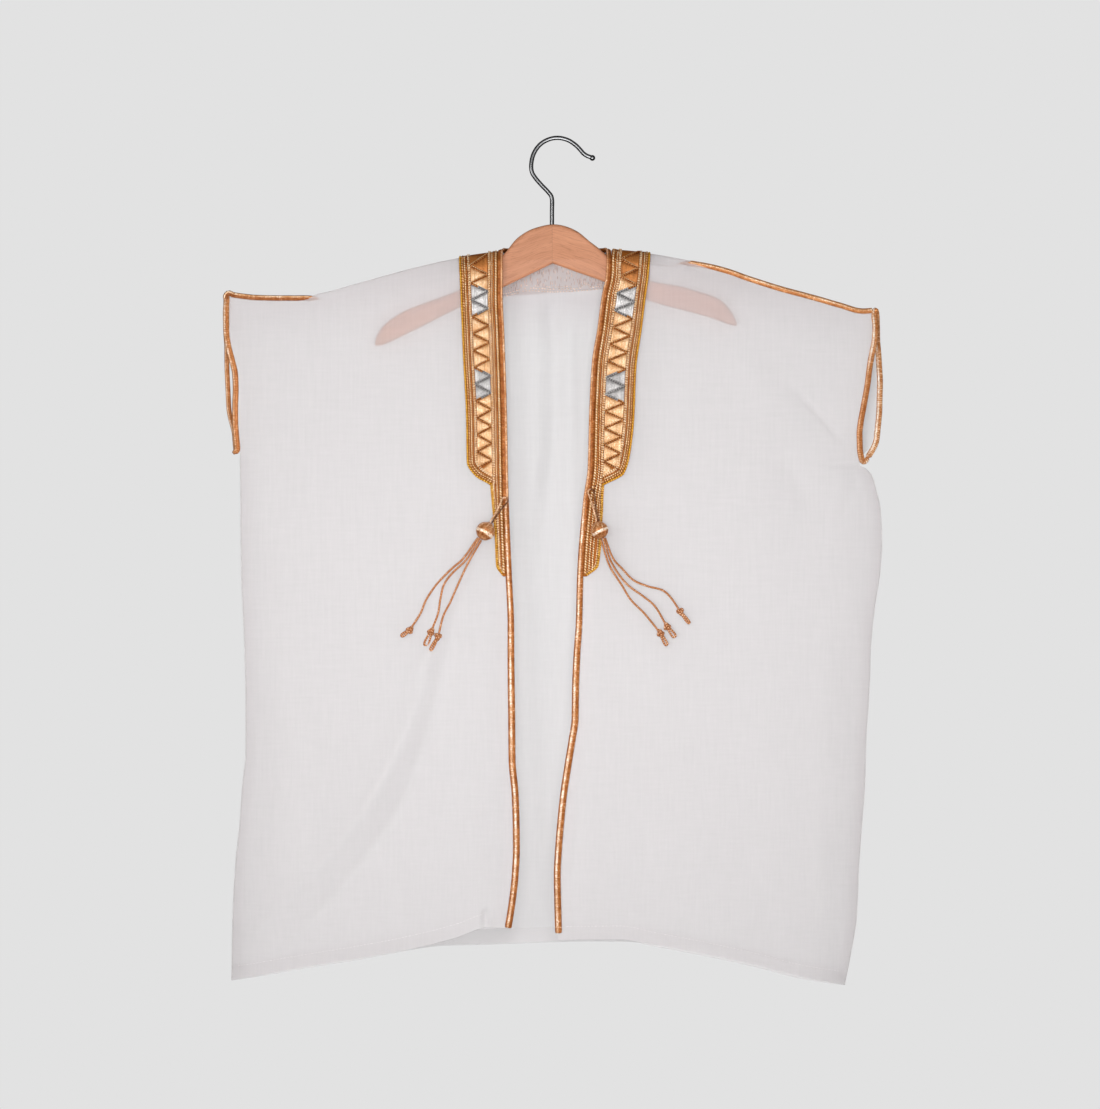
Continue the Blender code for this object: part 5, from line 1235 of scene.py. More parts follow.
# Rows of the wide band, from its outer edge in, and from its inner edge out.
OUTER_ROWS = [
    # distance of the row's middle from the edge, width, kind, material
    (0.95, 1.9, "rope", "MUSTARD"), (2.9, 2.0, "rope", "COPPER"), (4.75, 1.4, "rope", "PALE"),
    (6.2, 1.3, "rope", "DARK"), (8.0, 2.3, "dots", "PALE"),
]
INNER_ROWS = [
    (1.15, 2.1, "rope", "PALE"), (3.0, 1.6, "rope", "DARK"), (4.4, 1.2, "rope", "PALE"),
    (5.35, 0.9, "rope", "DARK"), (6.75, 2.4, "dots", "PALE"),
]
NARROW_ROWS = [
    (1.15, 2.2, "rope", "PALE"), (3.0, 1.2, "rope", "DARK"), (4.2, 1.4, "rope", "PALE"),
    (5.6, 1.3, "rope", "DARK"), (7.0, 1.5, "rope", "PALE"),
]
FIELD_FROM, FIELD_TO = 9.4, 8.1
PALETTE = ["GROUND", "COPPER", "DARK", "PALE", "GOLD", "MUSTARD", "SILVER", "SHADE", "GREY", "UMBER"]
BAND_MATERIALS = [GROUND, COPPER, DARK, PALE, GOLD, MUSTARD, SILVER, SHADE, GREY, UMBER]
SLOT = {name: k for k, name in enumerate(PALETTE)}
TOP_Z = {"L": -97.0, "R": -94.5}


def inner_line(s, z):
    """Inner edge of the bands, which is the outer edge of the braid beside them."""
    return front_edge[s](z) + SIGN[s] * (braid_width(z) + 0.1)


def band_top(s, x):
    return cloth_top(s, x)


def over_shoulder(s, x, r):
    """From the front up over the fold to its crest, at one x: points and normals."""
    top = float(cloth_top(s, x))
    spots, outs = [], []
    for a in np.radians([22, 45, 68, 90]):
        spots.append((x, -(r + SEAM_GAP) * math.cos(a), top - 0.4 + r * math.sin(a)))
        outs.append((0, -math.cos(a), math.sin(a)))
    return np.array(spots), np.array(outs)


def edge_rows(s):
    """Outline of the wide band's outer edge, densely, from the top down round its foot."""
    table = BAND_EDGE[s]
    foot_z = table[-1][0]
    zs = np.concatenate([np.arange(table[0][0] + 0.0, -270, -2.0), np.linspace(-270, foot_z, 40)])
    line = np.column_stack([band_edge[s](zs), zs])
    corner = np.array([inner_line(s, foot_z - 1.0) + SIGN[s] * 0.5, foot_z - 1.4])
    line = np.vstack([line, mix(line[-1], corner, 0.5), corner])
    return evenly(line, 1.2)


def offset_line(line, d, s):
    """The line moved in from the outline by d, to the side where the band lies."""
    t = unit(np.gradient(line, axis=0))
    n = np.column_stack([-t[:, 1], t[:, 0]]) * (-SIGN[s])
    # From the top down, the band's inside is towards the front edge.
    if (n[0, 0] * -SIGN[s]) < 0:
        n = -n
    return line + n * d


def on_front(s, line, off, over=0.0):
    spots, outs = lift(s, line[:, 0], line[:, 1], off)
    if over:
        top, tops = over_shoulder(s, float(line[0, 0]), over * 0.8)
        spots, outs = np.vstack([top[::-1], spots]), np.vstack([tops[::-1], outs])
    return spots, outs


def add_row(piece, spots, outs, kind, width, slot, seed):
    if kind == "rope":
        bold = width > 1.65
        rope(piece, spots, outs, width * 1.08, pitch=2.35 if bold else 2.0, sides=7, high=0.80, slot=slot,
             dip=0.36 if bold else 0.26, phase=seed * 1.7)
    else:
        # A dotted row: a thin couched line with knots on it.
        rope(piece, spots - outs * 0.25, outs, width * 0.9, pitch=2.4, sides=6, high=0.45, slot=SLOT["COPPER"],
             step=0.8, phase=seed)
        half = width * 0.24
        frames = frames_on(spots, outs)
        for side in (-1, 1):
            dots(piece, spots + frames[2] * side * half + outs * 0.28, outs, 2.0, (1.5, width * 0.42, 1.0), slot,
                 seed * 7 + side)


def satin(piece, s, base_a, base_b, apex, slot, seed, off=GROUND_OFF + 0.1, panel=None, threads=24, dim=0.0):
    """A triangle filled with satin stitch, its threads parallel to its base."""
    rng = np.random.RandomState(seed)
    rows = threads * 2 + 1
    q = np.linspace(0, 1, rows)
    left = mix(np.array(base_a)[None], np.array(apex)[None], q[:, None] * 0.985)
    right = mix(np.array(base_b)[None], np.array(apex)[None], q[:, None] * 0.985)
    t = np.linspace(0, 1, 7)
    flat = mix(left[:, None], right[:, None], t[None, :, None])
    ridge = (np.arange(rows) % 2).astype(float)
    crown = 0.55 * np.sqrt(np.clip(4 * t * (1 - t), 0, 1))[None] * (1 - 0.4 * q[:, None])
    height = 0.05 + crown + 0.16 * ridge[:, None] * (t[None] > 0) * (t[None] < 1)
    height[0], height[-1] = height[0] * 0.3, height[-1] * 0.3
    spots, _ = lift(panel or s, flat[..., 0], flat[..., 1], off + height)
    # Painted highlight along the middle of its threads, painted shade where they dive under the cord and towards the
    # apex.
    bulge = np.sqrt(np.clip(4 * t * (1 - t), 0.0, 1))[None]
    slant = rng.uniform(-0.34, 0.34)
    tone = 0.10 + bulge * (0.52 + 0.24 * ridge[:, None]) + 0.16 * rng.uniform(-1, 1, (rows, 1)) - 0.20 * q[:, None] ** 2
    tone = tone + slant * (q[:, None] - 0.35) + rng.uniform(-0.2, 0.2) * (t[None] - 0.5) - dim
    tone = np.clip(np.broadcast_to(tone, (rows, len(t))), 0, 1)
    shades = np.repeat(rng.uniform(-1, 1, threads + 1), 2)[:rows]
    tint = np.repeat(shades[:, None], len(t), 1)
    piece.add(spots.reshape(-1, 3), strip_faces(rows, len(t)), slot, tone.reshape(-1), tint.reshape(-1))


def zigzag_marks(s):
    """z of the zigzag's turns on the outer side and on the inner side of the field."""
    px = lambda y: (140 - y) * 0.85
    if s == "L":
        return [px(267 + 16.8 * k) for k in range(13)], [px(275.5 + 16.8 * k) for k in range(12)]
    return [px(269 + 16.8 * k) for k in range(13)], [px(260.4 + 16.8 * k) for k in range(13)]


SILVER_TURNS = {
    # for each side: index of outer-based triangles, index of inner-based ones
    "L": ({1, 2, 6, 7}, {1, 6}),
    "R": ({1, 2, 6, 7}, {2, 7}),
}


def build_band(s):
    """The wide embroidered band down one front."""
    sg = SIGN[s]
    piece = Piece()
    outline = edge_rows(s)
    foot_z = BAND_EDGE[s][-1][0]
    # Ground: a stiff strip between the outline and the inner edge.
    zs = np.concatenate([np.linspace(BAND_EDGE[s][0][0], -268, 84), np.linspace(-269.5, foot_z - 0.4, 22)])
    outer = band_edge[s](np.maximum(zs, foot_z)) - sg * 0.35
    inner = inner_line(s, zs) - sg * 0.4
    cols = 15
    xs = mix(outer[:, None], inner[:, None], np.linspace(0, 1, cols)[None])
    zz = np.repeat(zs[:, None], cols, 1)
    # The first row follows the fold of the shoulder.
    zz[0] = cloth_top(s, xs[0]) - 0.2
    zz[1] = mix(zz[0], zz[3], 1 / 3)
    zz[2] = mix(zz[0], zz[3], 2 / 3)
    top, _ = lift(s, xs, zz, GROUND_OFF)
    low, _ = lift(s, xs, zz, 0.25)
    crest = np.stack([xs[0], np.zeros(cols), cloth_top(s, xs[0]) + GROUND_OFF * 0.9], -1)[None]
    crest_low = crest - np.array([0, 0, 0.5])
    top, low = np.concatenate([crest, top]), np.concatenate([crest_low, low])
    rows = len(top)
    layers = np.concatenate([top.reshape(-1, 3), low.reshape(-1, 3)])
    quads = strip_faces(rows, cols, flip=s == "R")
    rim = [(0, j) for j in range(cols)] + [(i, cols - 1) for i in range(1, rows)]
    rim += [(rows - 1, j) for j in range(cols - 2, -1, -1)] + [(i, 0) for i in range(rows - 2, 0, -1)]
    ids = np.array([i * cols + j for i, j in rim])
    nxt = np.roll(ids, -1)
    wall = np.stack([ids, nxt, nxt + rows * cols, ids + rows * cols], -1)
    wall = wall[:, ::-1] if s == "L" else wall
    piece.add(layers, [quads, quads[:, ::-1] + rows * cols, wall], SLOT["GROUND"], 0.7)

    # Rows along the outer edge turn round the foot with it.
    stop_x = inner_line(s, foot_z)
    for k, (d, width, kind, material) in enumerate(OUTER_ROWS):
        line = offset_line(outline, d, s)
        reach = sg * (line[:, 0] - inner_line(s, line[:, 1]))
        keep = np.ones(len(line), bool)
        below = line[:, 1] < -262
        keep[below] = reach[below] > 8.0
        first_bad = np.argmax(~keep) if (~keep).any() else len(line)
        line = line[:first_bad]
        line = line[line[:, 1] < cloth_top(s, line[:, 0]) - 0.8]
        off = GROUND_OFF + width * (0.30 if kind == "rope" else 0.22)
        spots, outs = on_front(s, line, off, over=off)
        add_row(piece, spots, outs, kind, width, SLOT[material], k + 1)
    # Rows along the inner edge run straight down to the narrow band.
    for k, (d, width, kind, material) in enumerate(INNER_ROWS):
        zs = np.arange(-96.0, foot_z - 0.6 + (1.6 if k == 4 else 0), -1.2)
        xs = inner_line(s, zs) + sg * d
        line = np.column_stack([xs, zs])
        line = line[line[:, 1] < cloth_top(s, line[:, 0]) - 0.8]
        off = GROUND_OFF + width * (0.30 if kind == "rope" else 0.22)
        spots, outs = on_front(s, line, off, over=off)
        add_row(piece, spots, outs, kind, width, SLOT[material], k + 11)

    # Field of triangles between two zigzags' turns.
    def outer_x(z):
        return float(band_edge[s](max(z, -262))) - sg * FIELD_FROM

    def inner_x(z):
        return float(inner_line(s, z)) + sg * FIELD_TO

    outs_z, ins_z = zigzag_marks(s)
    silver_out, silver_in = SILVER_TURNS[s]
    turns = sorted([(z, "o") for z in outs_z] + [(z, "i") for z in ins_z], reverse=True)
    if s == "R":
        order = turns
    else:
        order = turns
    field_foot = -290.0 if s == "L" else -288.5
    for k in range(len(outs_z) - 1):
        a, b = outs_z[k], outs_z[k + 1]
        apex = [z for z in ins_z if b < z < a]
        if not apex:
            continue
        # On the right the first outer-based triangle takes the painted shade of the shoulder's fold.
        top_shade = s == "R" and k == 0
        slot = SLOT["SILVER"] if k in silver_out else SLOT["SHADE" if top_shade else "GOLD"]
        satin(piece, s, (outer_x(a), a - 0.5), (outer_x(b), b + 0.5), (inner_x(apex[0]), apex[0]), slot, 100 + k,
              dim=0.30 if k in silver_out and k > 4 else 0.0)
    for k in range(len(ins_z) - 1):
        a, b = ins_z[k], ins_z[k + 1]
        apex = [z for z in outs_z if b < z < a]
        if not apex:
            continue
        # On the right the first inner-based triangle takes the painted shade as well.
        slot = SLOT["SILVER"] if k in silver_in else SLOT["SHADE" if s == "R" and k < 1 else "GOLD"]
        satin(piece, s, (inner_x(a), a - 0.5), (inner_x(b), b + 0.5), (outer_x(apex[0]), apex[0]), slot, 200 + k,
              dim=0.22 if k in silver_in and k > 4 else 0.0)
    # Part triangles fill the field's two ends; those at the top take the painted shade.
    first_o, first_i = outs_z[0], ins_z[0]
    head_z = float(cloth_top(s, (outer_x(-100) + inner_x(-100)) / 2)) - 1.2
    if first_i < first_o:
        satin(piece, s, (inner_x(head_z), head_z), (inner_x(first_i), first_i + 0.5), (outer_x(first_o), first_o),
              SLOT["SHADE"], 301)
        satin(piece, s, (outer_x(head_z), head_z), (outer_x(first_o), first_o + 0.4), (inner_x(head_z - 1), head_z - 1),
              SLOT["SHADE"], 302, threads=16)
    else:
        satin(piece, s, (outer_x(head_z), head_z), (outer_x(first_o), first_o + 0.5), (inner_x(first_i), first_i),
              SLOT["SHADE"], 303)
    last_o, last_i = outs_z[-1], ins_z[-1]
    if last_o < last_i:
        tip = mix(outer_x(-262), inner_x(field_foot), 0.72)
        satin(piece, s, (inner_x(last_i), last_i - 0.5), (inner_x(field_foot), field_foot + 1.0),
              (mix(outer_x(last_o), inner_x(last_i), 0.25), last_o - 1.5), SLOT["GOLD"], 304)
    else:
        satin(piece, s, (inner_x(last_i), last_i - 0.5), (inner_x(field_foot), field_foot + 1.0),
              (mix(outer_x(last_i), inner_x(last_i), 0.45), last_i - 5.0), SLOT["GOLD"], 305)
    # The zigzag itself: a dark couched cord, and along its upper side a thin pale cord that is partly a real thread and
    # partly a painted highlight on the cord's lit side.
    spots = []
    for z, where in turns:
        x = outer_x(z) if where == "o" else inner_x(z)
        spots.append((x, z))
    head = (inner_x(head_z), head_z) if turns[0][1] == "o" else (outer_x(head_z), head_z)
    spots = [head] + spots
    line = []
    for a, b in zip(spots[:-1], spots[1:]):
        a, b = np.array(a), np.array(b)
        for t in np.linspace(0, 1, 12, endpoint=False):
            line.append(mix(a, b, t))
    line.append(np.array(spots[-1]))
    line = np.array(line)
    pts, outs = lift(s, line[:, 0], line[:, 1], GROUND_OFF + 0.62)
    # It turns grey where it edges the silver triangles.
    grey = [(287.0, 314.0), (371.5, 398.5)] if s == "L" else [(289.0, 316.0), (373.0, 400.0)]
    z_of = [((140 - a) * 0.85, (140 - b) * 0.85) for a, b in grey]
    in_grey = np.zeros(len(line), bool)
    for a, b in z_of:
        in_grey |= (line[:, 1] < a) & (line[:, 1] > b)
    cuts = np.where(np.diff(in_grey.astype(int)) != 0)[0] + 1
    t = unit(np.gradient(line, axis=0))
    up = np.column_stack([-t[:, 1], t[:, 0]])
    up[up[:, 1] < 0] *= -1
    high_pts, high_outs = lift(s, (line + up * 1.0)[:, 0], (line + up * 1.0)[:, 1], GROUND_OFF + 0.85)
    for k, part in enumerate(np.split(np.arange(len(line)), cuts)):
        if len(part) < 2:
            continue
        span = np.arange(part[0], min(part[-1] + 2, len(line)))
        silvery = in_grey[part[0]]
        rope(piece, pts[span], outs[span], 2.15, pitch=2.1, sides=7, high=0.85, slot=SLOT["GREY" if silvery else "UMBER"],
             dip=0.36, phase=k, ends=False)
        rope(piece, high_pts[span], high_outs[span], 0.75, pitch=1.8, sides=5, high=0.8,
             slot=SLOT["SILVER" if silvery else "PALE"], step=0.5, dip=0.3, ends=False)
    made = piece.make("band_wide_" + s, BAND_MATERIALS)
    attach(made, "root")
    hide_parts("neckband_" + s)
    return made


def build_narrow(s):
    """The narrow band below the wide one, its foot cut slantwise to the braid."""
    sg = SIGN[s]
    piece = Piece()
    z_top, z_foot = NARROW_EDGE[s][0][0] - 0.6, NARROW_EDGE[s][-1][0]
    zs = np.concatenate([np.arange(z_top, -361.0, -1.5), np.linspace(-361.5, z_foot, 9)])
    outer = narrow_edge[s](zs) - sg * 0.35
    inner = inner_line(s, zs) - sg * 0.4
    outer = np.where(sg * (outer - inner) < 1.0, inner + sg * 1.0, outer)
    cols = 8
    xs = mix(outer[:, None], inner[:, None], np.linspace(0, 1, cols)[None])
    zz = np.repeat(zs[:, None], cols, 1)
    top, _ = lift(s, xs, zz, GROUND_OFF)
    low, _ = lift(s, xs, zz, 0.25)
    rows = len(zs)
    quads = strip_faces(rows, cols, flip=s == "R")
    rim = [(0, j) for j in range(cols)] + [(i, cols - 1) for i in range(1, rows)]
    rim += [(rows - 1, j) for j in range(cols - 2, -1, -1)] + [(i, 0) for i in range(rows - 2, 0, -1)]
    ids = np.array([i * cols + j for i, j in rim])
    nxt = np.roll(ids, -1)
    wall = np.stack([ids, nxt, nxt + rows * cols, ids + rows * cols], -1)
    wall = wall[:, ::-1] if s == "L" else wall
    piece.add(np.concatenate([top.reshape(-1, 3), low.reshape(-1, 3)]),
              [quads, quads[:, ::-1] + rows * cols, wall], SLOT["GROUND"], 0.7)
    for k, (d, width, kind, material) in enumerate(NARROW_ROWS):
        zz = np.arange(z_top + 0.8, z_foot + 0.5, -1.2)
        xx = inner_line(s, zz) + sg * d
        fit = sg * (narrow_edge[s](zz) - xx) > 1.6 + width / 2
        stop = np.argmax(~fit) if (~fit).any() else len(zz)
        if stop < 6:
            continue
        spots, outs = lift(s, xx[:stop], zz[:stop], GROUND_OFF + width * 0.30)
        add_row(piece, spots, outs, kind, width, SLOT[material], k + 31)
    # A broad dotted row of mustard and gold follows the outer edge round the slant.
    zz = np.concatenate([np.arange(z_top + 0.8, -358.0, -1.2), np.linspace(-358.5, z_foot + 0.3, 16)])
    for d, width, material, kind in ((0.55, 1.1, "MUSTARD", "rope"), (1.65, 1.5, "MUSTARD", "dots"), (3.0, 1.4, "GOLD", "dots")):
        line = np.column_stack([narrow_edge[s](zz), zz])
        line = offset_line(evenly(line, 1.0), d, s)
        reach = sg * (line[:, 0] - inner_line(s, line[:, 1]))
        line = line[reach > (0.6 if kind == "rope" else 2.2)]
        spots, outs = lift(s, line[:, 0], line[:, 1], GROUND_OFF + width * (0.30 if kind == "rope" else 0.22))
        if kind == "rope":
            rope(piece, spots, outs, width * 1.1, pitch=1.9, slot=SLOT[material])
        elif len(line) > 8:
            rope(piece, spots - outs * 0.2, outs, 1.5, pitch=2.4, sides=6, high=0.45, slot=SLOT["COPPER"], step=0.8)
            dots(piece, spots + outs * 0.25, outs, 2.05, (1.6, 1.25, 1.0), SLOT[material], int(70 + d * 9))
    made = piece.make("band_narrow_" + s, BAND_MATERIALS)
    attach(made, "root")
    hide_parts("narrow_band_" + s)
    return made


BACK_BAND_FOOT = -130.4  # lower edge of the band round the back of the neck
BACK_BAND_X = (-84.1, 78.6)


def askew(x, z):
    """The band hangs a little lower on its left side, behind the neck."""
    return z + (0.8 + 0.075 * (x + 4)) * (1 - step_between(44, 72, np.abs(x))) * step_between(-104, -126, z)


def back_row(d):
    """One row of the back band: down from the left shoulder, across, and up to the right one."""
    left, right = BACK_BAND_X[0] + d, BACK_BAND_X[1] - d
    low = BACK_BAND_FOOT + d
    tops = [float(cloth_top("L", left)), float(cloth_top("R", right))]
    r = max(13.0 - d, 1.2)
    r = min(r, max(tops[0] - low - 0.5, 0.8), max(tops[1] - low - 0.5, 0.8))
    line = [(left, z) for z in np.arange(tops[0] - 0.9, low + r, -1.2)]
    line += [(left + r - r * math.cos(a), low + r - r * math.sin(a)) for a in np.linspace(0, math.pi / 2, 8)]
    line += [(x, low) for x in np.arange(left + r + 1.2, right - r, 1.2)]
    line += [(right - r + r * math.sin(a), low + r - r * math.cos(a)) for a in np.linspace(0, math.pi / 2, 8)]
    line += [(right, z) for z in np.arange(low + r + 0.6, tops[1] - 0.9, 1.2)]
    line = np.array(line)
    line[:, 1] = askew(line[:, 0], line[:, 1])
    return evenly(line, 1.2)


def build_back_band():
    piece = Piece()
    # Ground: columns across the neck, each from the seam or the neckline down.
    xs = np.linspace(BACK_BAND_X[0] + 0.35, BACK_BAND_X[1] - 0.35, 96)
    tops = np.where(xs < 0, cloth_top("L", xs), cloth_top("R", xs)) - 0.2
    tops = mix(tops, NECK_Z - EDGE_BRAID[0] - 0.1, neck_share(xs))
    # Rounded lower corners.
    out = np.minimum(xs - BACK_BAND_X[0], BACK_BAND_X[1] - xs)
    lows = BACK_BAND_FOOT + 0.35 + 12.5 * (1 - quarter(out / 12.5))
    t = np.linspace(0, 1, 18)
    zz = mix(tops[None], lows[None], t[:, None])
    xx = np.repeat(xs[None], len(t), 0)
    zz = askew(xx, zz)
    top, _ = lift("back", xx, zz, GROUND_OFF)
    low, _ = lift("back", xx, zz, 0.25)
    n = neck_share(xs)
    crest = np.stack([xs, mix(0.0, top[0, :, 1], n), mix(tops + GROUND_OFF * 0.9 + 0.2, tops, n)], -1)[None]
    top, low = np.concatenate([crest, top]), np.concatenate([crest - np.array([0, 0, 0.5]), low])
    rows, cols = top.shape[:2]
    quads = strip_faces(rows, cols)
    rim = [(0, j) for j in range(cols)] + [(i, cols - 1) for i in range(1, rows)]
    rim += [(rows - 1, j) for j in range(cols - 2, -1, -1)] + [(i, 0) for i in range(rows - 2, 0, -1)]
    ids = np.array([i * cols + j for i, j in rim])
    nxt = np.roll(ids, -1)
    wall = np.stack([ids, nxt, nxt + rows * cols, ids + rows * cols], -1)
    piece.add(np.concatenate([top.reshape(-1, 3), low.reshape(-1, 3)]),
              [quads, quads[:, ::-1] + rows * cols, wall[:, ::-1]], SLOT["GROUND"], 0.7)
    whole = 32.7
    plans = [(d, w, kind, m, k) for k, (d, w, kind, m) in enumerate(OUTER_ROWS)]
    plans += [(whole - d, w, kind, m, k + 10) for k, (d, w, kind, m) in enumerate(INNER_ROWS)]
    for d, width, kind, material, seed in plans:
        off = GROUND_OFF + width * (0.30 if kind == "rope" else 0.22)
        line = back_row(d)
        spots, outs = lift("back", line[:, 0], line[:, 1], off)
        ends = []
        for place, s in ((line[0, 0], "L"), (line[-1, 0], "R")):
            up, ups = over_shoulder(s, float(place), off)
            up[:, 1], ups[:, 1] = -up[:, 1], -ups[:, 1]
            ends.append((up, ups))
        spots = np.vstack([ends[0][0][::-1], spots, ends[1][0]])
        outs = np.vstack([ends[0][1][::-1], outs, ends[1][1]])
        add_row(piece, spots, outs, kind, width, SLOT[material], seed)
    # The field across the back.
    z_low, z_high = BACK_BAND_FOOT + FIELD_FROM, BACK_BAND_FOOT + whole - FIELD_TO
    x_left, x_right = BACK_BAND_X[0] + FIELD_FROM, BACK_BAND_X[1] - FIELD_FROM
    count = int(round((x_right - x_left) / PERIOD))
    step = (x_right - x_left) / count
    line = [(x_left, z_high)]
    for k in range(count):
        a, m, b = x_left + k * step, x_left + (k + 0.5) * step, x_left + (k + 1) * step
        satin(piece, "back", (a + 0.5, z_high), (b - 0.5, z_high), (m, z_low), SLOT["SILVER" if k in (3, 8) else "GOLD"],
              400 + k, panel="back")
        line += [(m, z_low), (b, z_high)]
        if k < count - 1:
            satin(piece, "back", (m + 0.5, z_low), (m + step - 0.5, z_low), (b, z_high),
                  SLOT["SILVER" if k in (2, 3, 7, 8) else "GOLD"], 450 + k, panel="back")
    dense = []
    for a, b in zip(line[:-1], line[1:]):
        for t in np.linspace(0, 1, 12, endpoint=False):
            dense.append((mix(a[0], b[0], t), mix(a[1], b[1], t)))
    dense = np.array(dense + [line[-1]])
    pts, outs = lift("back", dense[:, 0], dense[:, 1], GROUND_OFF + 0.62)
    rope(piece, pts, outs, 2.0, pitch=2.0, sides=7, high=0.85, slot=SLOT["DARK"], dip=0.30)
    made = piece.make("band_back", BAND_MATERIALS)
    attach(made, "root")
    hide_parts("neckband_back")
    return made


# ------------------------------------------------------------------ braids
def plied(piece, path, normals, width, thick, ring=False, seed=0, step=0.45, dark=0, light=1, lean=0.2, both=False,
          painted_light_level=1.0, swing=0.36):
    """A flat braid: a broad strand of slanting threads, and a lighter wound ply lying along it off its middle."""
    full = np.ones(len(path))
    data = np.column_stack([path, normals, full * width, full * lean, full * painted_light_level])
    if ring:
        data = np.vstack([data, data[:1]])
    data = evenly_by(data, step)
    if ring:
        data = data[:-1]
    spots, outs, wide, off, painted_light_level = data[:, :3], unit(data[:, 3:6]), data[:, 6], data[:, 7], data[:, 8:9]
    frames = frames_on(spots, outs, ring)
    run = np.arange(len(spots))[:, None] * step
    thin = None if ring else taper_of(len(spots), step, wide)
    flat = thick / np.mean(wide)
    pitch = 1.5

    sides = 10
    angle = np.linspace(0, 2 * math.pi, sides, endpoint=False)[None] + math.pi / sides
    jitter = 1.3 * noise(seed + 500, run, run * 0, 2.6, 9)
    wave = 0.5 + 0.5 * np.cos(2.4 * np.abs(np.cos(angle)) - 2 * math.pi * run / pitch + jitter)
    crest = np.abs(np.sin(angle)) if both else np.clip(np.sin(angle), 0, 1)
    painted_shine = 0.5 + 0.5 * noise(seed + 530, run, run * 0, 9.0, 9)
    each = noise(seed + 540, run, run * 0, 1.3, 9)
    # Painted light: a painted highlight along the crest, the whole scaled by a painted light level along the braid,
    # painted shade between the slanting threads, and each thread's own random tone.
    tone = ((0.24 + 0.28 * crest * painted_shine) * painted_light_level + swing * (wave - 0.5) + 0.16 * each
            + 0.22 * np.abs(np.cos(angle)) ** 3)
    tube(piece, spots, (1 - 0.13 * (1 - wave)) * (wide / 2)[:, None], frames, sides, 1.0, flat * 0.86, dark,
         np.clip(tone, 0, 1), 0.0, ring, thin)

    sides = 7
    angle = np.linspace(0, 2 * math.pi, sides, endpoint=False)[None]
    for face in (1, -1) if both else (1,):
        wave = 0.5 + 0.5 * np.cos(angle * face - 2 * math.pi * run / pitch + jitter)
        crest = np.clip(np.sin(angle) * face, 0, 1)
        painted_shine = 0.62 + 0.38 * noise(seed + 531 + face, run, run * 0, 13.0, 9)
        each = noise(seed + 541 + face, run, run * 0, 1.7, 9)
        # Painted light on the wound ply too: a painted highlight on its crest and painted shade between its turns.
        tone = (0.42 + 0.46 * crest * np.clip(painted_shine, 0, 1.1)) * painted_light_level + swing * (wave - 0.5) + 0.16 * each
        slow = 1 + 0.10 * noise(seed + 510 + face, run, run * 0, 7, 9)
        centre = spots + frames[2] * (off * wide)[:, None] + frames[1] * (face * 0.24 * flat * wide)[:, None]
        tube(piece, centre, (1 - 0.12 * (1 - wave)) * slow * (wide * 0.205)[:, None], frames, sides, 1.0,
             min(flat * 1.9, 1.0), light, np.clip(tone, 0, 1), 0.0, ring, thin)


def taper_of(count, step, wide):
    k = np.arange(count)
    near = np.minimum(k, count - 1 - k) * step / (np.mean(wide) * 0.22)
    return 0.55 + 0.45 * quarter(near)


def edge_path():
    """The whole edging: up the left front, round the neck, and down the right front."""
    spots, outs = [], []

    def front(s, zs):
        w = braid_width(zs)
        x = front_edge[s](zs) + SIGN[s] * w / 2
        p, n = lift(s, x, zs, 0.75)
        return p, n, w

    zs = np.arange(-668.6, -99.0, 2.2)
    a = front("L", zs)
    zs = np.arange(-101.0, -674.4, -2.2)
    b = front("R", zs)
    # Round the neck, over the shoulder's fold and along the back neckline.
    xl, xr = a[0][-1, 0], b[0][0, 0]
    y_neck = float(depth["back"](NECK_Z)) + 0.8
    z_neck = NECK_Z - 3.0
    mid = [
        (xl + 0.3, -2.6, -95.2), (xl + 0.9, 0.2, -93.9), (xl + 2.2, 4.0, -93.6), (xl + 6.0, y_neck - 0.8, -94.1),
        (xl + 14, y_neck, z_neck), (-20, y_neck, z_neck), (-2, y_neck, z_neck + 0.1), (16, y_neck, z_neck),
        (xr - 13, y_neck, z_neck), (xr - 5.6, y_neck - 0.8, -94.0), (xr - 2.0, 4.0, -93.3), (xr - 0.8, 0.2, -93.5),
        (xr - 0.3, -2.6, -95.4),
    ]
    turn = [
        (-0.1, -0.8, 0.6), (0, 0.1, 1), (0, 0.75, 0.66), (0, 0.95, 0.3), (0, 1, 0), (0, 1, 0), (0, 1, 0), (0, 1, 0), (0, 1, 0),
        (0, 0.95, 0.3), (0, 0.75, 0.66), (0, 0.1, 1), (0.1, -0.8, 0.6),
    ]
    width = [4.7, 4.8, 5.0, 5.2, 5.6, 5.6, 5.6, 5.6, 5.6, 5.2, 5.0, 4.8, 4.7]
    path = np.vstack([a[0], mid, b[0]])
    norm = np.vstack([a[1], unit(turn), b[1]])
    wide = np.concatenate([a[2], width, b[2]])
    # A smooth curve through them all, its normals and widths carried along.
    data = np.column_stack([path, norm, wide])
    return resample_smooth(data, 0.9), len(a[0]), len(mid)


def resample_smooth(data, spacing):
    p = np.vstack([2 * data[0] - data[1], data, 2 * data[-1] - data[-2]])
    t = np.arange(8)[:, None] / 8
    fine = []
    for i in range(1, len(p) - 2):
        fine.append(0.5 * (2 * p[i] + (p[i + 1] - p[i - 1]) * t
                           + (2 * p[i - 1] - 5 * p[i] + 4 * p[i + 1] - p[i + 2]) * t * t
                           + (3 * p[i] - p[i - 1] - 3 * p[i + 1] + p[i + 2]) * t ** 3))
    fine.append(p[-2][None])
    fine = np.vstack(fine)
    return evenly_by(fine, spacing)


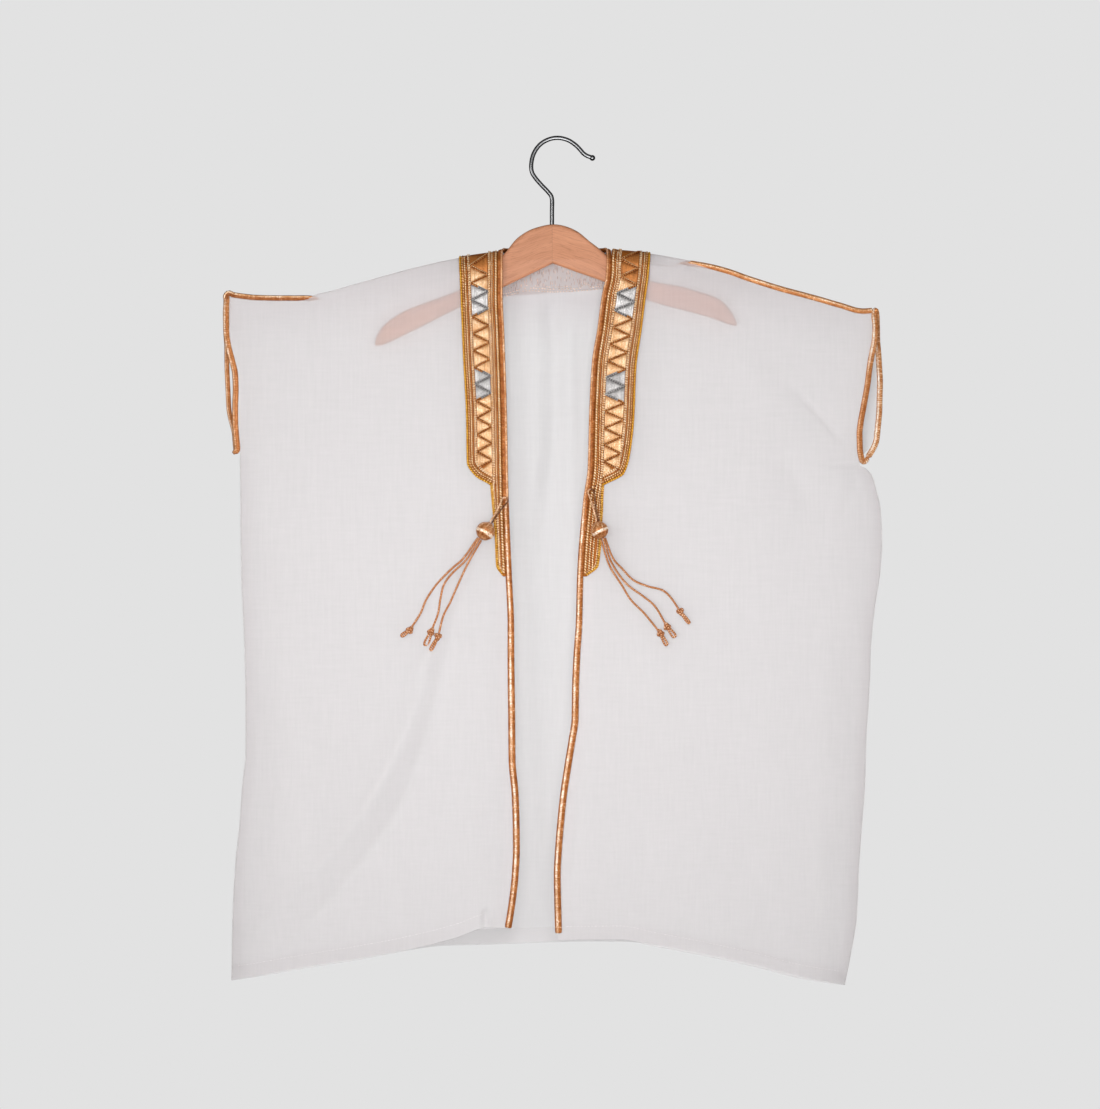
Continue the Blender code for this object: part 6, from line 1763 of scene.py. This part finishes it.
def build_edge_braids():
    data, _, _ = edge_path()
    # Cut where it crosses the shoulders' folds.
    y, x = data[:, 1], data[:, 0]
    behind = np.where(y > 0.0)[0]
    first, last = behind[0], behind[-1]
    parts = (("front_braid_L", data[:first + 1]), ("neck_braid", data[first:last + 1]), ("front_braid_R", data[last:]))
    made = {}
    for k, (name, part) in enumerate(parts):
        piece = Piece()
        # Below its tassel the left braid has turned over, and the light ply lies left of its middle.
        lean = np.full(len(part), 0.27)
        # Less painted light on the braids above the tassels.
        painted_light_level = mix(0.52, 1.0, step_between(-300, -330, part[:, 2]))
        if name == "front_braid_L":
            lean = mix(lean, -0.07, step_between(-300, -316, part[:, 2]))
        elif name == "front_braid_R":
            lean = mix(lean, 0.13, step_between(-300, -340, part[:, 2]))
        plied(piece, part[:, :3], part[:, 3:6], part[:, 6], EDGE_BRAID[1], seed=k * 3, lean=lean, painted_light_level=painted_light_level)
        obj = piece.make("edging_" + name, [PLY_DARK, PLY_LIGHT])
        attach(obj, "root")
        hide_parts(name)
        made[name] = obj
    return made


def build_cuff_braids():
    made = {}
    for s in "LR":
        sg = SIGN[s]
        corner = float(seam_top(s, side_x[s, "front"](-131 if s == "L" else -144)))
        foot = SIDE_SEAM_TOP[s]
        off = CUFF_BRAID[0] / 2 + 0.1
        zs = np.linspace(corner - 1.5, foot + (5.0 if s == "L" else 12.5), 26)
        fronts = np.stack([side_x[s, "front"](zs) + sg * off, -side_stand(s, zs) - 0.35, zs], -1)
        backs = np.stack([side_x[s, "back"](zs) + sg * off, side_stand(s, zs) + 0.35, zs], -1)
        if s == "R":
            # Near its foot the braid swings round in a narrow bend.
            fronts[:, 0] = np.where(zs < -250, np.interp(-zs, [250, 262, 267], [256.0, 256.4, 257.0]), fronts[:, 0])
            backs[:, 0] = np.where(zs < -250, np.interp(-zs, [250, 259.6, 267], [272.0, 269.7, 265.2]), backs[:, 0])
        else:
            # The back part turns its edge towards the front, and a slit of light shows beside it.
            backs[:, 0] += (-1.3 * step_between(-170, -196, zs) * (1 - step_between(-226, -246, zs))
                            + 0.6 * step_between(-232, -250, zs))
        low_x = -274.0 if s == "L" else 260.4
        low_z = -265.2 if s == "L" else -272.6
        loop = [(fronts[0] + backs[0]) / 2 + np.array([0, 0, 4.0 if s == "L" else 6.6])]
        norm = [(0, 0, 1)]
        for k, p in enumerate(fronts):
            loop.append(p)
            norm.append((0, -1, 0.5 if k == 0 else 0))
        half = 0.3 if s == "L" else 1.9
        loop.append(np.array([low_x - half, -1.0, low_z + (0.4 if s == "R" else 0)]))
        norm.append((0, -0.7, -0.7) if s == "L" else (0, -1, -0.2))
        loop.append(np.array([low_x, 0.0, low_z - 0.7]))
        norm.append((0, 0, -1) if s == "L" else (0, -1, -0.3))
        loop.append(np.array([low_x + half, 1.0, low_z + (0.7 if s == "R" else 0)]))
        norm.append((0, 0.7, -0.7) if s == "L" else (0.2, -0.8, -0.4))
        for k, p in enumerate(backs[::-1]):
            loop.append(p)
            norm.append((0, 1, 0.5 if k == len(backs) - 1 else 0))
        path, norm = np.array(loop), unit(np.array(norm, float))
        wide = np.full(len(path), CUFF_BRAID[0])
        if s == "L":
            behind = (path[:, 1] > 0.5)
            wide[behind] -= 0.9 * step_between(-166, -196, path[behind, 2]) * (1 - step_between(-240, -258, path[behind, 2]))
        else:
            path, norm, wide = path[::-1], norm[::-1], wide[::-1]
        data = np.column_stack([path, norm, wide])
        ring = np.vstack([data[-1:], data, data[:2]])
        t = np.arange(8)[:, None] / 8
        fine = []
        for i in range(1, len(ring) - 2):
            fine.append(0.5 * (2 * ring[i] + (ring[i + 1] - ring[i - 1]) * t
                               + (2 * ring[i - 1] - 5 * ring[i] + 4 * ring[i + 1] - ring[i + 2]) * t * t
                               + (3 * ring[i] - ring[i - 1] - 3 * ring[i + 1] + ring[i + 2]) * t ** 3))
        fine = np.vstack(fine)
        piece = Piece()
        # Painted light: one level on the back strand, and the front strand dims as it runs down.
        painted_light_level = np.where(fine[:, 1] > 0, 1.25 if s == "R" else 0.88,
                         mix(1.25 if s == "R" else 0.75, 0.42, step_between(-178, -206, fine[:, 2])))
        plied(piece, fine[:, :3], fine[:, 3:6], fine[:, 6], CUFF_BRAID[1], ring=True, seed=31 + (s == "R"),
              lean=0.22 if s == "L" else -0.18, both=True, painted_light_level=painted_light_level, swing=0.70)
        obj = piece.make("edging_cuff_" + s, [PLY_WARM, PLY_LIGHT])
        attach(obj, "root")
        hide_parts("cuff_braid_" + s)
        made[s] = obj
    return made


def build_shoulder_braids():
    made = {}
    for s in "LR":
        sg = SIGN[s]
        width = SHOULDER_BRAID[0]
        path, norm = [], []
        # Behind the cloth at first, on the back panel's outer face; then it climbs to the shoulder's own line.
        hidden = (-172.0, -180.0, -188.0, -196.0) if s == "L" else (80.0, 86.0, 92.0, 97.0)
        for x in hidden:
            p, _ = lift("back", x, float(seam_top(s, x)) - 8.2, 1.6)
            path.append(p)
            norm.append((0, -1, -0.15))
        y_here = path[-1][1]
        rise = (-203.0, -207.0, -212.0, -217.0, -222.0) if s == "L" else (102.0, 106.0, 112.0, 119.0, 127.0)
        for k, x in enumerate(rise):
            q = (k + 1) / len(rise)
            low = mix(11.0, 2.35, quarter(q * 1.25 if q < 0.8 else 1.0))
            path.append(np.array([x, mix(min(y_here, 5.0), 0.1, quarter(q)), float(shoulder[s](x)) - low]))
            norm.append((0, -1, -0.1 * (1 - q)))
        stop = float(side_x[s, "front"](-131 if s == "L" else -144)) + sg * (2.4 if s == "R" else -2.0)
        for x in np.arange(rise[-1] + sg * 6, stop, sg * 6.0):
            path.append(np.array([x, 0, float(shoulder[s](x)) - 2.25]))
            norm.append((0, -1, 0))
        end_z = float(shoulder[s](stop)) - 2.25
        path.append(np.array([stop, 0 if s == "R" else -1.0, end_z]))
        norm.append((0, -1, 0))
        if s == "L":
            # It turns down over the top of the braid on the hand opening.
            for x, y, z in ((-279.6, -2.4, -130.3), (-281.9, -3.0, -132.1), (-282.4, -3.0, -135.2)):
                path.append(np.array([x, y, z]))
                norm.append((0, -1, 0))
        path, norm = np.array(path), unit(np.array(norm, float))
        from_seam = (path[:, 0] - hidden[-1]) * sg
        wide = mix(0.6, width, step_between(5, 14, from_seam))
        data = resample_smooth(np.column_stack([path, norm, wide]), 0.9)
        piece = Piece()
        plied(piece, data[:, :3], data[:, 3:6], data[:, 6], SHOULDER_BRAID[1], seed=41 + (s == "R"),
              lean=0.22 if s == "L" else -0.12)
        obj = piece.make("edging_shoulder_" + s, [PLY_DULL, PLY_PLAIN] if s == "L" else [PLY_WARM, PLY_PLAIN])
        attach(obj, "root")
        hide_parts("shoulder_braid_" + s)
        made[s] = obj
    return made


# ------------------------------------------------------------------ tassels
def cad_surface_y(s, x, z):
    """Y of the outer face of the part's own front panel."""
    below = float(seam_top(s, x)) - z
    from_side = abs(x - float(side_x[s, "front"](z)))
    total = 0.0
    for name, x1, z1, x2, z2, x3, z3, half, height in FOLDS:
        if name == s:
            gap, where = gap_to(bow(x1, z1, x2, z2, x3, z3), np.array(x), np.array(z))
            ends = min(1, 0.25 + 3 * float(where), 0.35 + 3 * (1 - float(where)))
            total += height * ends * math.exp(-((float(gap) / half) ** 2))
    calm = float(step_between(15, 70, below)) * float(step_between(6, 40, from_side))
    out = float(depth["front"](z)) + total * calm
    ft = float(ease(below / float(top_turn(abs(x)))))
    turned = float(ease(from_side / SIDE_TURN))
    return -(0.75 * (1 - ft) + ft * mix(0.75, out, turned) + CLOTH / 2)


def laid_cord(name, route, diameter, pitch, material, sides=10, thicker=0.92, doubled=False):
    spots = through(route, pitch / 6)
    piece = Piece()
    angle = np.linspace(0, 2 * math.pi, sides, endpoint=False)[None]
    run = np.arange(len(spots))[:, None] * pitch / 6
    wave = 0.5 + 0.5 * np.cos(2 * angle - 2 * math.pi * run / pitch)
    # Painted highlight on the cord's front side, painted shade between its plies.
    tone = np.clip(0.26 + 0.36 * np.clip(np.sin(angle + 0.5), -0.5, 1) + 0.20 * (wave - 0.4), 0, 1)
    if doubled:
        # The first half of a loop lies in the shade of the second.
        tone = tone * 0.3 + 0.62 * step_between(0.46, 0.54, run / run.max())
    tube(piece, spots, (1 - 0.07 * (1 - wave)) * diameter / 2 * thicker, frames_on(spots, (0, -1, 0)), sides, tone=tone)
    obj = piece.make(name, [material])
    length = float(np.linalg.norm(np.diff(spots, axis=0), axis=1).sum())
    return obj, spots, length


def build_tassels():
    made, lengths = {}, {}
    for s in "LR":
        bx, bz, size = BEADS[s]
        size = size * 1.03
        lx, lz = LOOP_START[s]
        by = cad_surface_y(s, bx, bz) - SEAM - BAND - SEAM - size / 2 - 0.4
        centre = np.array([bx, by, bz])
        start_y = cad_surface_y(s, lx + SIGN[s] * 6, lz) - SEAM - BAND - LOOP_CORD / 2 - 2.4
        start = np.array([lx, start_y, lz])
        axis = unit(start - centre)
        beside = unit(np.cross(axis, (0, 1, 0)))
        front = np.cross(beside, axis)

        # Bead: threads wound round it from end to end, with a flat satin band across.
        piece = Piece()
        rings, sides = 44, 56
        lat = np.linspace(0.035 * math.pi, 0.965 * math.pi, rings)
        ang = np.linspace(0, 2 * math.pi, sides, endpoint=False)
        height = np.cos(lat)
        # A narrow raised satin band runs across it, its edges soft, in the painted highlight colour; painted shade
        # darkens the grooves just below and above it.
        shift, skew = (0.28, 0.04) if s == "L" else (0.24, 0.24)
        belt = height[:, None] + shift + skew * np.cos(ang)[None] * np.sin(lat)[:, None]
        band = np.exp(-(belt / 0.19) ** 4)
        ridge = 0.5 + 0.5 * np.cos(10 * ang[None] + 2.6 * height[:, None] + 0.5 * np.sin(3 * ang[None]))
        fine = 0.5 + 0.5 * np.cos(46 * ang[None] - 6 * height[:, None])
        under = np.exp(-((belt + 0.34) / 0.15) ** 2)
        over = np.exp(-((belt - 0.24) / 0.08) ** 2)
        r = size / 2 * (0.985 + 0.020 * ridge * (1 - band) + 0.018 * band + 0.006 * fine - 0.020 * under - 0.018 * over)
        ring_r = r * np.sin(lat)[:, None] * 1.02
        spots = (centre + axis * (r * height[:, None])[..., None]
                 + beside * (np.cos(ang)[None] * ring_r)[..., None] + front * (np.sin(ang)[None] * ring_r)[..., None])
        # Painted light: lighter towards the upper end and on the ridges, the band in the painted highlight, painted
        # shade in the grooves beside the band.
        tone = 0.32 + 0.24 * ridge + 0.12 * (fine - 0.5) + 0.22 * np.clip(height[:, None] - 0.1, 0, 1)
        tone = tone * (1 - band) + band * (0.90 + 0.10 * fine) - 0.34 * under - 0.16 * over
        tone = np.clip(tone, 0, 1)
        piece.add(spots.reshape(-1, 3), [strip_faces(rings, sides, around=True)], 0, tone.reshape(-1))
        # A small disc closes each end, and a ring of cord sits at the lower one.
        for end in (0, -1):
            rim = spots[end]
            mid = rim.mean(0)
            k = np.arange(sides)
            piece.add(np.vstack([rim, mid]), [np.stack([np.full(sides, sides), k, (k + 1) % sides], -1)], 0, 0.1)
        collar = []
        for a in np.linspace(0, 2 * math.pi, 40, endpoint=False):
            collar.append(centre + axis * size * 0.465 + (beside * math.cos(a) + front * math.sin(a)) * size * 0.15)
        collar = np.array(collar)
        rope(piece, collar, axis, 1.3, pitch=1.5, slot=0, ring=True, high=1.0, step=0.35)
        bead = piece.make("tassel_bead_" + s, [BEAD_DARK])
        weld(bead)
        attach(bead, "root")
        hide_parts("bead_" + s)

        # Loop: from the bead to its stitch on the edging and back.
        foot = centre + axis * (size / 2 + SEAM + 0.4)
        turn = start - axis * LOOP_HALF
        sag = np.array([0, -1.0, 0])
        legs = [(foot, 0.85), (mix(foot, turn, 0.35) + sag, 0.95), (mix(foot, turn, 0.7) + sag, 1.6)]
        route = [place_ - beside * half for place_, half in legs]
        for angle in (180, 144, 108, 72, 36, 0):
            a = math.radians(angle)
            route.append(turn + (beside * math.cos(a) + axis * math.sin(a)) * LOOP_HALF)
        route += [place_ + beside * half for place_, half in reversed(legs)]
        loop, line, length = laid_cord("tassel_loop_" + s, route, LOOP_CORD, 1.8, LOOP_MAT, sides=9, thicker=1.25, doubled=True)
        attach(loop, "root")
        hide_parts("loop_" + s)
        lengths["loop_" + s] = length

        for key in "abc":
            name = s + "_" + key
            table = CORDS[name]
            last = len(table) - 1
            route = []
            for k, (x, z) in enumerate(table):
                rest_y = cad_surface_y(s, x, z) - CORD / 2 - CORD_OFF[key]
                route.append((x, mix(by, rest_y, float(step_between(0, 0.45, k / last))), z))
            route = np.array(route)
            lead = unit(np.array(CORD_LEAVES[name]))
            route[0] = centre + lead * (size / 2 + SEAM + 0.3)
            kx, kz, tx, tz = KNOTS[name]
            knot_at = np.array([kx, route[-1][1], kz])
            pull = unit(knot_at - route[-2])
            route[-1] = knot_at - pull * (KNOT[0] / 2 + SEAM)
            # The visible strand starts just off its bead and runs a little way into its knot.
            strand, line, length = laid_cord("tassel_cord_" + name, route, CORD, 2.7, CORD_MAT)
            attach(strand, "root")
            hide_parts("cord_" + name)

            # The knot at the strand's lower end, and the tail below it.
            knot = build_knot("tassel_knot_" + name, knot_at, pull, hash_of(name))
            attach(knot, "root")
            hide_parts("knot_" + name)
            tail = build_tail("tassel_tail_" + name, knot_at, np.array([tx, knot_at[1], tz]), name)
            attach(tail, "root")
            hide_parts("tail_" + name)
            lengths["cord_" + name] = length
    return lengths


def hash_of(name):
    return sum(ord(c) * (k + 3) for k, c in enumerate(name)) % 97


def weld(obj):
    """Joins points that lie on each other, so that split parts shade as one."""
    import bmesh

    shape = bmesh.new()
    shape.from_mesh(obj.data)
    bmesh.ops.remove_doubles(shape, verts=shape.verts, dist=1e-6)
    bmesh.ops.recalc_face_normals(shape, faces=shape.faces)
    shape.to_mesh(obj.data)
    shape.free()
    obj.data.shade_smooth()


def build_knot(name, centre, pull, seed):
    """An overhand knot drawn tight: a trefoil of cord."""
    rng = np.random.RandomState(seed)
    t = np.linspace(0, 2 * math.pi, 40, endpoint=False)
    a = np.sin(t) + 2 * np.sin(2 * t)
    b = np.cos(t) - 2 * np.cos(2 * t)
    c = -np.sin(3 * t)
    front = np.array([0.0, -1.0, 0.0])
    front = unit(front - pull * (front @ pull))
    beside = np.cross(pull, front)
    roll = rng.uniform(0, 2 * math.pi / 3)
    u, v = a * math.cos(roll) - b * math.sin(roll), a * math.sin(roll) + b * math.cos(roll)
    reach = 3.0
    spots = (centre + pull * (u / reach * (KNOT[0] / 2 + 0.15))[:, None] + beside * (v / reach * (KNOT[1] / 2 + 0.35))[:, None]
             + front * (c * 1.0)[:, None])
    piece = Piece()
    rope(piece, spots, front, 2.0, pitch=1.9, sides=8, high=1.0, ring=True, step=0.36, dip=0.14)
    return piece.make(name, [CORD_MAT])


def build_tail(name, knot, end, which):
    """The tail below a knot: the cord doubled back on itself in a small bight."""
    lead = unit(end - knot)
    front = np.array([0.0, -1.0, 0.0])
    beside = np.cross(lead, front)
    open_by = {"L_a": 1.15, "L_b": 1.85, "L_c": 1.05, "R_a": 1.0, "R_b": 1.55, "R_c": 1.25}[which]
    start = knot + lead * (KNOT[0] / 2 - 0.3)
    reach = float(np.linalg.norm(end - start)) - 0.75
    legs = []
    for t, w in ((0, 0.5), (0.35, 0.8), (0.7, 1.0)):
        legs.append((start + lead * reach * t, open_by * w))
    tip = start + lead * reach
    route = [p - beside * w for p, w in legs]
    route += [tip - beside * open_by * 0.75 - lead * 0.45, tip, tip + beside * open_by * 0.75 - lead * 0.45]
    route += [p + beside * w for p, w in reversed(legs)]
    line = through(route, 0.33)
    piece = Piece()
    share, tone = twist(len(line), 8, 0.33, 1.9, 1, 0.12)
    tube(piece, line, share * 0.98, frames_on(line, (0, -1, 0)), 8, tone=tone)
    return piece.make(name, [CORD_MAT])


BEAD_DARK = zari("bead_wound", (0.80, 0.400, 0.165), (0.24, 0.062, 0.012), metal=0.28, rough=0.30, painted_highlight=(1.0, 0.93, 0.80))


# ------------------------------------------------------------------ studio
def build_studio():
    scene = bpy.context.scene
    scene.view_settings.view_transform = "Standard"
    world = bpy.data.worlds.new("studio")
    scene.world = world
    world.use_nodes = True
    nodes, links = world.node_tree.nodes, world.node_tree.links
    nodes.clear()
    out = nodes.new("ShaderNodeOutputWorld")
    seen, light = nodes.new("ShaderNodeBackground"), nodes.new("ShaderNodeBackground")
    seen.inputs["Color"].default_value = (0.7605, 0.7605, 0.7605, 1)
    # The studio is bright in front of the cloak and darker to the sides and behind.
    way, axes = nodes.new("ShaderNodeTexCoord"), nodes.new("ShaderNodeSeparateXYZ")
    links.new(way.outputs["Generated"], axes.inputs[0])
    ramp = nodes.new("ShaderNodeMapRange")
    ramp.interpolation_type = "SMOOTHSTEP"
    for key, value in (("From Min", 0.25), ("From Max", -0.85), ("To Min", 0.15), ("To Max", 0.48)):
        ramp.inputs[key].default_value = value
    links.new(axes.outputs["Y"], ramp.inputs["Value"])
    light.inputs["Color"].default_value = (1.0, 0.995, 0.995, 1)
    links.new(ramp.outputs["Result"], light.inputs["Strength"])
    either, ray = nodes.new("ShaderNodeMixShader"), nodes.new("ShaderNodeLightPath")
    links.new(ray.outputs["Is Camera Ray"], either.inputs[0])
    links.new(light.outputs[0], either.inputs[1])
    links.new(seen.outputs[0], either.inputs[2])
    links.new(either.outputs[0], out.inputs[0])

    def area(name, spot, aim, size, power, tint=(1, 1, 1)):
        lamp = bpy.data.lights.new(name, "AREA")
        lamp.shape, lamp.size, lamp.size_y = "RECTANGLE", size[0], size[1]
        lamp.energy, lamp.color = power, tint
        obj = bpy.data.objects.new(name, lamp)
        scene.collection.objects.link(obj)
        obj.location = spot
        way = np.array(aim, float) - np.array(spot, float)
        from mathutils import Vector

        obj.rotation_euler = Vector(way).to_track_quat("-Z", "Y").to_euler()
        obj.visible_camera = False
        return obj

    area("key_soft", (-1.5, -1.6, -0.30), (0, 0, -0.40), (0.8, 0.8), 10.75, (1.0, 0.997, 0.994))
    area("front_soft", (-0.02, -0.76, -0.22), (-0.02, 0, -0.22), (0.45, 0.35), 2.25)
    area("front_low", (-0.02, -0.76, -0.52), (-0.02, 0, -0.52), (0.45, 0.35), 2.15)
    area("side_soft", (1.3, -0.34, -0.90), (0.15, 0, -0.55), (0.4, 0.4), 3.2)
    area("rim_back", (0.5, 2.4, 0.7), (0, 0, -0.42), (1.8, 1.4), 8)

    mesh = bpy.data.meshes.new("floor")
    count = 96
    ring = [(3.6 * math.cos(2 * math.pi * k / count), 3.6 * math.sin(2 * math.pi * k / count), -1.30) for k in range(count)]
    mesh.from_pydata(ring, [], [tuple(range(count))])
    floor = bpy.data.objects.new("floor", mesh)
    scene.collection.objects.link(floor)
    made, node, link = tree("floor_pale")
    body = node("ShaderNodeBsdfPrincipled", Roughness=0.9)
    grain = noisy(node, link, place(node, link, (1, 1, 1)), 3.0, 2.0)
    link(blend_colour(node, link, grain, (0.70, 0.70, 0.70), (0.76, 0.76, 0.76)), body.inputs["Base Color"])
    # The floor reads as pale as the room without throwing more light up at the cloth.
    body.inputs["Emission Color"].default_value = (1.0, 1.0, 1.0, 1.0)
    link(calc(node, link, "MULTIPLY", node("ShaderNodeLightPath").outputs["Is Camera Ray"], 0.42), body.inputs["Emission Strength"])
    end = node("ShaderNodeOutputMaterial")
    link(body.outputs[0], end.inputs["Surface"])
    mesh.materials.append(made)
    floor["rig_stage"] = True


build_studio()
cord_lengths = build_tassels()
wood = build_hanger()
cloth = build_cloth(wood)
edgings = build_edge_braids()
cuffs = build_cuff_braids()
shoulders = build_shoulder_braids()
bands = {name: make for name, make in (("wide_L", build_band("L")), ("wide_R", build_band("R")),
                                       ("narrow_L", build_narrow("L")), ("narrow_R", build_narrow("R")),
                                       ("back", build_back_band()))}

total = 0
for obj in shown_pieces():
    if obj.type == "MESH" and "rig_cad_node" not in obj:
        obj.data.calc_loop_triangles()
        total += len(obj.data.loop_triangles)
        print("TRI", obj.name, len(obj.data.loop_triangles))
print("TRI total", total)
